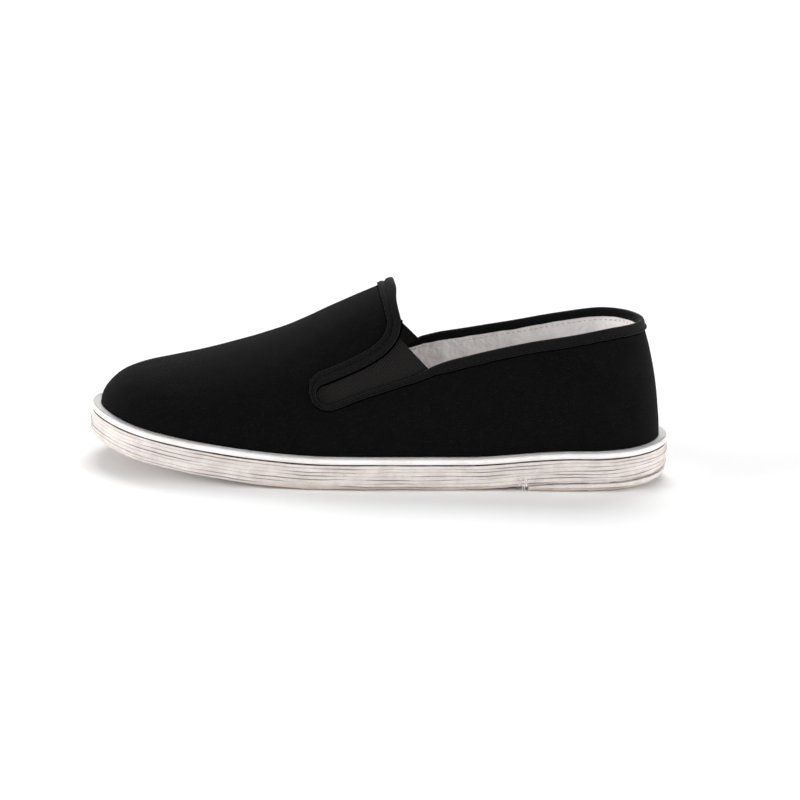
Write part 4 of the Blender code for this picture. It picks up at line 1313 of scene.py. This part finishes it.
def seam_shade():
    """Painted shade: flat black without gloss, laid in thin strips under folded edges where their shade
    falls, black cloth on black cloth.
    """
    material, tree = new_material("seam_shade")
    shade = patched(tree, grain(tree, 2.0, 2.0), 0.4, 0.7, "#000000", "#020202")
    return surfaced(material, shade, (), 0.0, Roughness=1.0, Specular_IOR_Level=0.0)


def black_elastic_webbing():
    """Rubber elastic covered in black yarn: slanting ribs that cross, a little warmer than the cloth."""
    material, tree = new_material("black_elastic_webbing")
    ribs = slanting_ribs(tree, ELASTIC_RIBS)
    shade = patched(tree, ribs, 0.3, 1.0, "#020202", "#151211")
    relief = (ribs, 1.0), (grain(tree, 0.5), 0.3)
    finish = {"Roughness": 0.75, "Specular_IOR_Level": 0.15, "Sheen_Weight": 0.05}
    return surfaced(material, shade, relief, 0.0002, **finish)


def white_bound_cotton():
    """New bleached cotton wrapped round the top ply: clean, matt, finely woven."""
    material, tree = new_material("white_bound_cotton")
    shade = patched(tree, grain(tree, 14.0, 4.0), 0.4, 0.72, "#f4f2f1", "#e6e2e0")
    relief = (woven_height(tree, BAND_WEAVE), 0.6), (grain(tree, 1.6), 0.8)
    return surfaced(material, shade, relief, 0.0002, Roughness=0.85, Sheen_Weight=0.1)


def raw_ply_cloth():
    """Raw edges of pasted rag cloth: pinkish white, fibrous, shade painted grey into the cracks, tanned at
    the ground.
    """
    material, tree = new_material("raw_ply_cloth")
    place = add_node(tree, "ShaderNodeTexCoord").outputs["Object"]
    height_above = add_node(tree, "ShaderNodeSeparateXYZ", Vector=place).outputs["Z"]
    crack = add_node(tree, "ShaderNodeAttribute", {"attribute_name": "crack"}).outputs["Fac"]
    fibres = grain(tree, 0.9, 4.0, 0.7)
    shade = patched(tree, grain(tree, 7.0, 5.0), 0.35, 0.7, "#e2dad6", "#d2c8c3")
    shade = patched(tree, fibres, 0.55, 0.8, shade, "#cfc4be", 0.35)
    # painted shade: the cracks between the plies darkened to grey by their marks
    shade = patched(tree, crack, 0.15, 0.8, shade, "#5e534d", 0.85)
    shade = patched(tree, height_above, WORN_RISE, 0.0, shade, "#a58a6e", 0.55)
    shade = patched(tree, grain(tree, 11.0, 2.0), 0.70, 0.80, shade, "#c09060", 0.30)
    relief = (fibres, 1.0), (grain(tree, 0.5), 0.6)
    return surfaced(material, shade, relief, 0.0004, Roughness=0.95, Sheen_Weight=0.25)


def lining_cotton():
    """Plain white lining cotton, grey inside the shoe, soft and slightly rumpled."""
    material, tree = new_material("lining_cotton")
    shade = patched(tree, grain(tree, 12.0, 4.0), 0.35, 0.7, "#fbf9f9", "#ebe7e7")
    relief = (woven_height(tree, CLOTH_WEAVE), 0.15), (grain(tree, 7.0, 2.0), 3.5)
    return surfaced(material, shade, relief, 0.0006, Roughness=0.9, Sheen_Weight=0.15)


def insole_cotton():
    """The cotton sock under the foot: off-white, woven a little coarser."""
    material, tree = new_material("insole_cotton_sock")
    shade = patched(tree, grain(tree, 16.0, 4.0), 0.35, 0.7, "#d9d2cb", "#c2b8ae")
    relief = (woven_height(tree, SOCK_WEAVE), 0.8), (grain(tree, 2.0), 0.5)
    return surfaced(material, shade, relief, 0.0003, Roughness=0.9)


def sewing_thread(name, first, second):
    """Twisted cotton thread, a little glossier than the cloth it lies in."""
    material, tree = new_material(name)
    twist = grain(tree, 0.4, 2.0)
    shade = patched(tree, twist, 0.35, 0.65, first, second)
    return surfaced(material, shade, ((twist, 1.0),), 0.0001, Roughness=0.65, Specular_IOR_Level=0.2)


def painted_gap_shade():
    """Painted shade in the gap under the bound ply's lip: a dark brown line."""
    material, tree = new_material("painted_gap_shade")
    shade = patched(tree, grain(tree, 5.0), 0.4, 0.7, "#2a1d16", "#6b5a50")
    return surfaced(material, shade, (), 0.0, Roughness=0.95)


MATERIALS = {
    "tape": black_bias_tape(),
    "seam_shade": seam_shade(),
    "gap_shade": painted_gap_shade(),
    "black_cotton": black_brushed_cotton(),
    "black_elastic": black_elastic_webbing(),
    "bound_cotton": white_bound_cotton(),
    "ply_cloth": raw_ply_cloth(),
    "lining_cotton": lining_cotton(),
    "insole_cotton": insole_cotton(),
    "tuft_cotton": sewing_thread("white_cotton_tuft", "#fffdfb", "#efe8e2"),
    "black_thread": sewing_thread("black_sewing_thread", "#030304", "#0c0c0d"),
    "white_thread": sewing_thread("white_sewing_thread", "#d6d0cc", "#b4aca6"),
}


# The studio: its floor, a hair under the stitches of the sole, the strength of the light from all round, and
# the broad lights, each with the way it shines, its strength and how many degrees wide it looks
STUDIO_SIZE = 14.0
FLOOR_DROP = 0.0003
STUDIO_AIR = 0.40
STUDIO_LIGHTS = (
    ("high_light", (0.0, -0.72, -1.0), 1.66, 34),
    ("toe_light", (1.0, 0.26, -0.15), 3.0, 34),
    ("heel_light", (-1.0, 0.28, -0.15), 2.75, 34),
    ("front_fill", (0.1, 1.0, -0.34), 0.52, 60),
)


def make_studio():
    """A plain white floor, soft light from all round, and broad lights above, left, right and in front."""
    bpy.ops.object.select_all(action="DESELECT")
    bpy.ops.mesh.primitive_plane_add(size=STUDIO_SIZE, location=(0.0, 0.0, -FLOOR_DROP))
    floor = bpy.context.object
    floor.name = "studio_floor"
    paper, tree = new_material("studio_paper")
    shader = tree.nodes["Principled BSDF"]
    shader.inputs["Base Color"].default_value = linear("#fbfbfb")
    shader.inputs["Roughness"].default_value = 0.9
    floor.data.materials.append(paper)
    floor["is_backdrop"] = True
    world = bpy.data.worlds.new("studio_air")
    bpy.context.scene.world = world
    world.use_nodes = True
    world.node_tree.nodes["Background"].inputs["Color"].default_value = (1, 1, 1, 1)
    world.node_tree.nodes["Background"].inputs["Strength"].default_value = STUDIO_AIR
    for name, aim, energy, angle in STUDIO_LIGHTS:
        light = bpy.data.lights.new(name, "SUN")
        light.energy = energy
        light.angle = math.radians(angle)
        lamp = bpy.data.objects.new(name, light)
        lamp.rotation_euler = Vector(aim).to_track_quat("-Z", "Y").to_euler()
        bpy.context.scene.collection.objects.link(lamp)
    bpy.context.scene.view_settings.view_transform = "Standard"


def make_camera():
    """The photograph's own view: a long lens from the outer side, turned a little."""
    azimuth, elevation, roll = (math.radians(v) for v in (VIEW_AZIMUTH, VIEW_ELEVATION, VIEW_ROLL))
    level = math.cos(elevation)
    ahead = Vector((math.sin(azimuth) * level, math.cos(azimuth) * level, -math.sin(elevation)))
    aside = ahead.cross(Vector((0, 0, 1))).normalized()
    above = aside.cross(ahead)
    right = aside * math.cos(roll) + above * math.sin(roll)
    up = above * math.cos(roll) - aside * math.sin(roll)
    aim = Vector(VIEW_TARGET) - (right * OFF_CENTRE[0] - up * OFF_CENTRE[1]) / PIXELS_PER_METRE
    lens = bpy.data.cameras.new("studio_camera")
    lens.sensor_width = 36.0
    lens.lens = PIXELS_PER_METRE * VIEW_DISTANCE / PICTURE_WIDTH * lens.sensor_width
    lens.clip_start = 0.05
    camera = bpy.data.objects.new("studio_camera", lens)
    bpy.context.scene.collection.objects.link(camera)
    turn = Matrix((right, up, -ahead)).transposed()
    camera.matrix_world = Matrix.Translation(aim - ahead * VIEW_DISTANCE) @ turn.to_4x4()
    bpy.context.scene.camera = camera


def sole_point(x, share, depth):
    """A point of the underside: share -1 at the outer edge of the plies, 1 at the inner one."""
    turn = turn_at((x - LAST_TOE) / LAST_LENGTH)
    outer = outline(turn, SOLE_MARGIN)[..., 1] - MIDDLE_SHIFT
    inner = outline(2 * math.pi - turn, SOLE_MARGIN)[..., 1] - MIDDLE_SHIFT
    y = outer + (inner - outer) * (share + 1) / 2
    return np.stack([x, y, bed_height(x) - depth], axis=-1)


# Quilting through the plies: rows across the sole, the stitches of each second row set in between
QUILTING_ROWS = 0.0052
QUILTING_SPACING = 0.0072
QUILTING_START, QUILTING_END = -0.125, 0.127


def make_quilting():
    """Rows of hemp stitches through all the plies, seen on the underside."""
    thread = stitch_shape(*QUILTING_STITCH)
    breast = SOLE_LENGTH * (HEEL_BREAST_SHARE - 0.5)
    seats = []
    for number, x in enumerate(np.arange(QUILTING_START, QUILTING_END, QUILTING_ROWS)):
        turn = turn_at((x - LAST_TOE) / LAST_LENGTH)
        width = outline(2 * math.pi - turn, SOLE_MARGIN)[1] - outline(turn, SOLE_MARGIN)[1]
        count = max(int(width / QUILTING_SPACING) - 1, 1)
        places = np.arange(count) - (count - 1) / 2 + 0.25 * (-1) ** number
        shares = places * QUILTING_SPACING / (width / 2)
        if abs(x - breast) < 0.003:
            continue
        for share in shares[np.abs(shares) < 0.90]:
            point = sole_point(np.array(x), share, STACK_HEIGHT)
            if x > breast:
                point[2] = max(bed_height(x) - STACK_HEIGHT - HEEL_STACK_HEIGHT, 0.0)
            seats.append(point + (0, 0, 0.00012))
    ahead = np.tile([0.0, 1.0, 0.0], (len(seats), 1))
    down = np.tile([0.0, 0.0, -1.0], (len(seats), 1))
    seats = (np.array(seats), ahead, down)
    stitched("quilting_stitches", seats, thread, "white_thread", "ply_cloth", 0.12, 9)


THREE_SIDES = (0.0, 2.094, 4.189)


def fibre(start, way, length, thickness, chance):
    """One loose fibre: a thin tapering three-sided thread that curls."""
    steps = 5
    side = np.cross(way, chance.normal(size=3))
    side /= np.linalg.norm(side)
    points = []
    place, heading = start.copy(), way / np.linalg.norm(way)
    for k in range(steps):
        across = np.cross(heading, side)
        radius = thickness * (1 - 0.8 * k / (steps - 1))
        for turn in THREE_SIDES:
            points.append(place + radius * (math.cos(turn) * side + math.sin(turn) * across))
        heading = heading + side * chance.normal(0, 0.35) + across * chance.normal(0, 0.35)
        heading /= np.linalg.norm(heading)
        place = place + heading * length / (steps - 1)
    faces = [(2, 1, 0), (3 * steps - 3, 3 * steps - 2, 3 * steps - 1)]
    for k in range(steps - 1):
        for j in range(3):
            a, b = 3 * k + j, 3 * k + (j + 1) % 3
            faces.append((a, b, b + 3, a + 3))
    return points, faces


# Loose fibres: how many there are, and how thick they are at their roots
LOW_FIBRES, CRACK_FIBRES, TUFT_FIBRES = ((240, 130, 44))
LOW_FIBRE_RADIUS = 0.00008
CRACK_FIBRE_RADIUS = 0.00006
TUFT_FIBRE_RADIUS = 0.00024
FIBRE_FLOOR = 0.00015  # no fibre comes closer to the floor


def sole_fibre(chance, turn, depth, margin, length, thickness, droop):
    """A fibre out of the sole's edge at a depth under the foot bed, kept off the floor."""
    plan = outline(np.array(turn), margin)
    place = np.array([plan[0], plan[1] - MIDDLE_SHIFT, bed_height(plan[0]) - depth])
    place[2] = max(place[2], 0.0004)
    out = (outline(np.array(turn), margin + 0.001) - plan) * 600
    points, faces = fibre(place, np.append(out, droop) + chance.normal(0, 0.6, 3), length, thickness, chance)
    points = np.array(points)
    points[:, 2] = np.maximum(points[:, 2], FIBRE_FLOOR)
    return points, faces


def edge_fibres(chance, count):
    """Fibres of the ragged lower edge."""
    for _ in range(count):
        turn = chance.uniform(0, 2 * math.pi)
        bottom = STACK_HEIGHT + HEEL_STACK_HEIGHT * heel_rise(float(outline(np.array(turn), 0.0)[0]))
        depth = bottom - chance.uniform(0.0003, 0.0012)
        length = chance.uniform(0.0006, 0.0022)
        yield sole_fibre(chance, turn, depth, SOLE_MARGIN - 0.0011, length, LOW_FIBRE_RADIUS, 0.1)


def crack_fibres(chance, count):
    """Fibres out of the cracks between the plies."""
    for _ in range(count):
        turn = chance.uniform(0, 2 * math.pi)
        depth = TOP_PLY_THICKNESS + SEAT_GAP + PLY_PITCH * chance.integers(1, PLY_COUNT)
        length = chance.uniform(0.0005, 0.0013)
        yield sole_fibre(chance, turn, depth, SOLE_MARGIN - 0.0003, length, CRACK_FIBRE_RADIUS, 0.0)


def tuft_fibres(chance, count):
    """The frayed tuft at the front of the heel's plies."""
    breast_x = (HEEL_BREAST_SHARE - 0.5) * SOLE_LENGTH
    breast = float(turn_at((breast_x - LAST_TOE) / LAST_LENGTH))
    for _ in range(count):
        turn = breast - 0.022 + chance.normal(0, 0.008)
        depth = STACK_HEIGHT - chance.uniform(0.0002, 0.0030)
        length = chance.uniform(0.0014, 0.0038)
        yield sole_fibre(chance, turn, depth, SOLE_MARGIN - 0.0001, length, TUFT_FIBRE_RADIUS, 0.4)


def gathered(name, fibres, material):
    """Fibres as one piece."""
    points, faces = [], []
    for made, skin in fibres:
        faces += [[i + len(points) for i in face] for face in skin]
        points += made.tolist()
    loose_piece(name, points, faces, material, "ply_cloth")


def make_fibres():
    """Loose fibres of the lower edge and the cracks, and a frayed tuft at the heel's breast."""
    chance = np.random.default_rng(71)
    low = list(edge_fibres(chance, LOW_FIBRES))
    gathered("loose_fibres", low + list(crack_fibres(chance, CRACK_FIBRES)), "white_thread")
    gathered("frayed_tuft", tuft_fibres(chance, TUFT_FIBRES), "tuft_cotton")


make_studio()
make_camera()
make_upper()
hem_line, top_line = make_edgings()
make_gores()
make_sole()
make_seams(hem_line, top_line)
make_quilting()
make_fibres()
bpy.ops.object.select_all(action="DESELECT")

boxes = {"solids": solid_box, "dressed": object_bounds()}
{name: [[float(v) for v in corner] for corner in box] for name, box in boxes.items()}
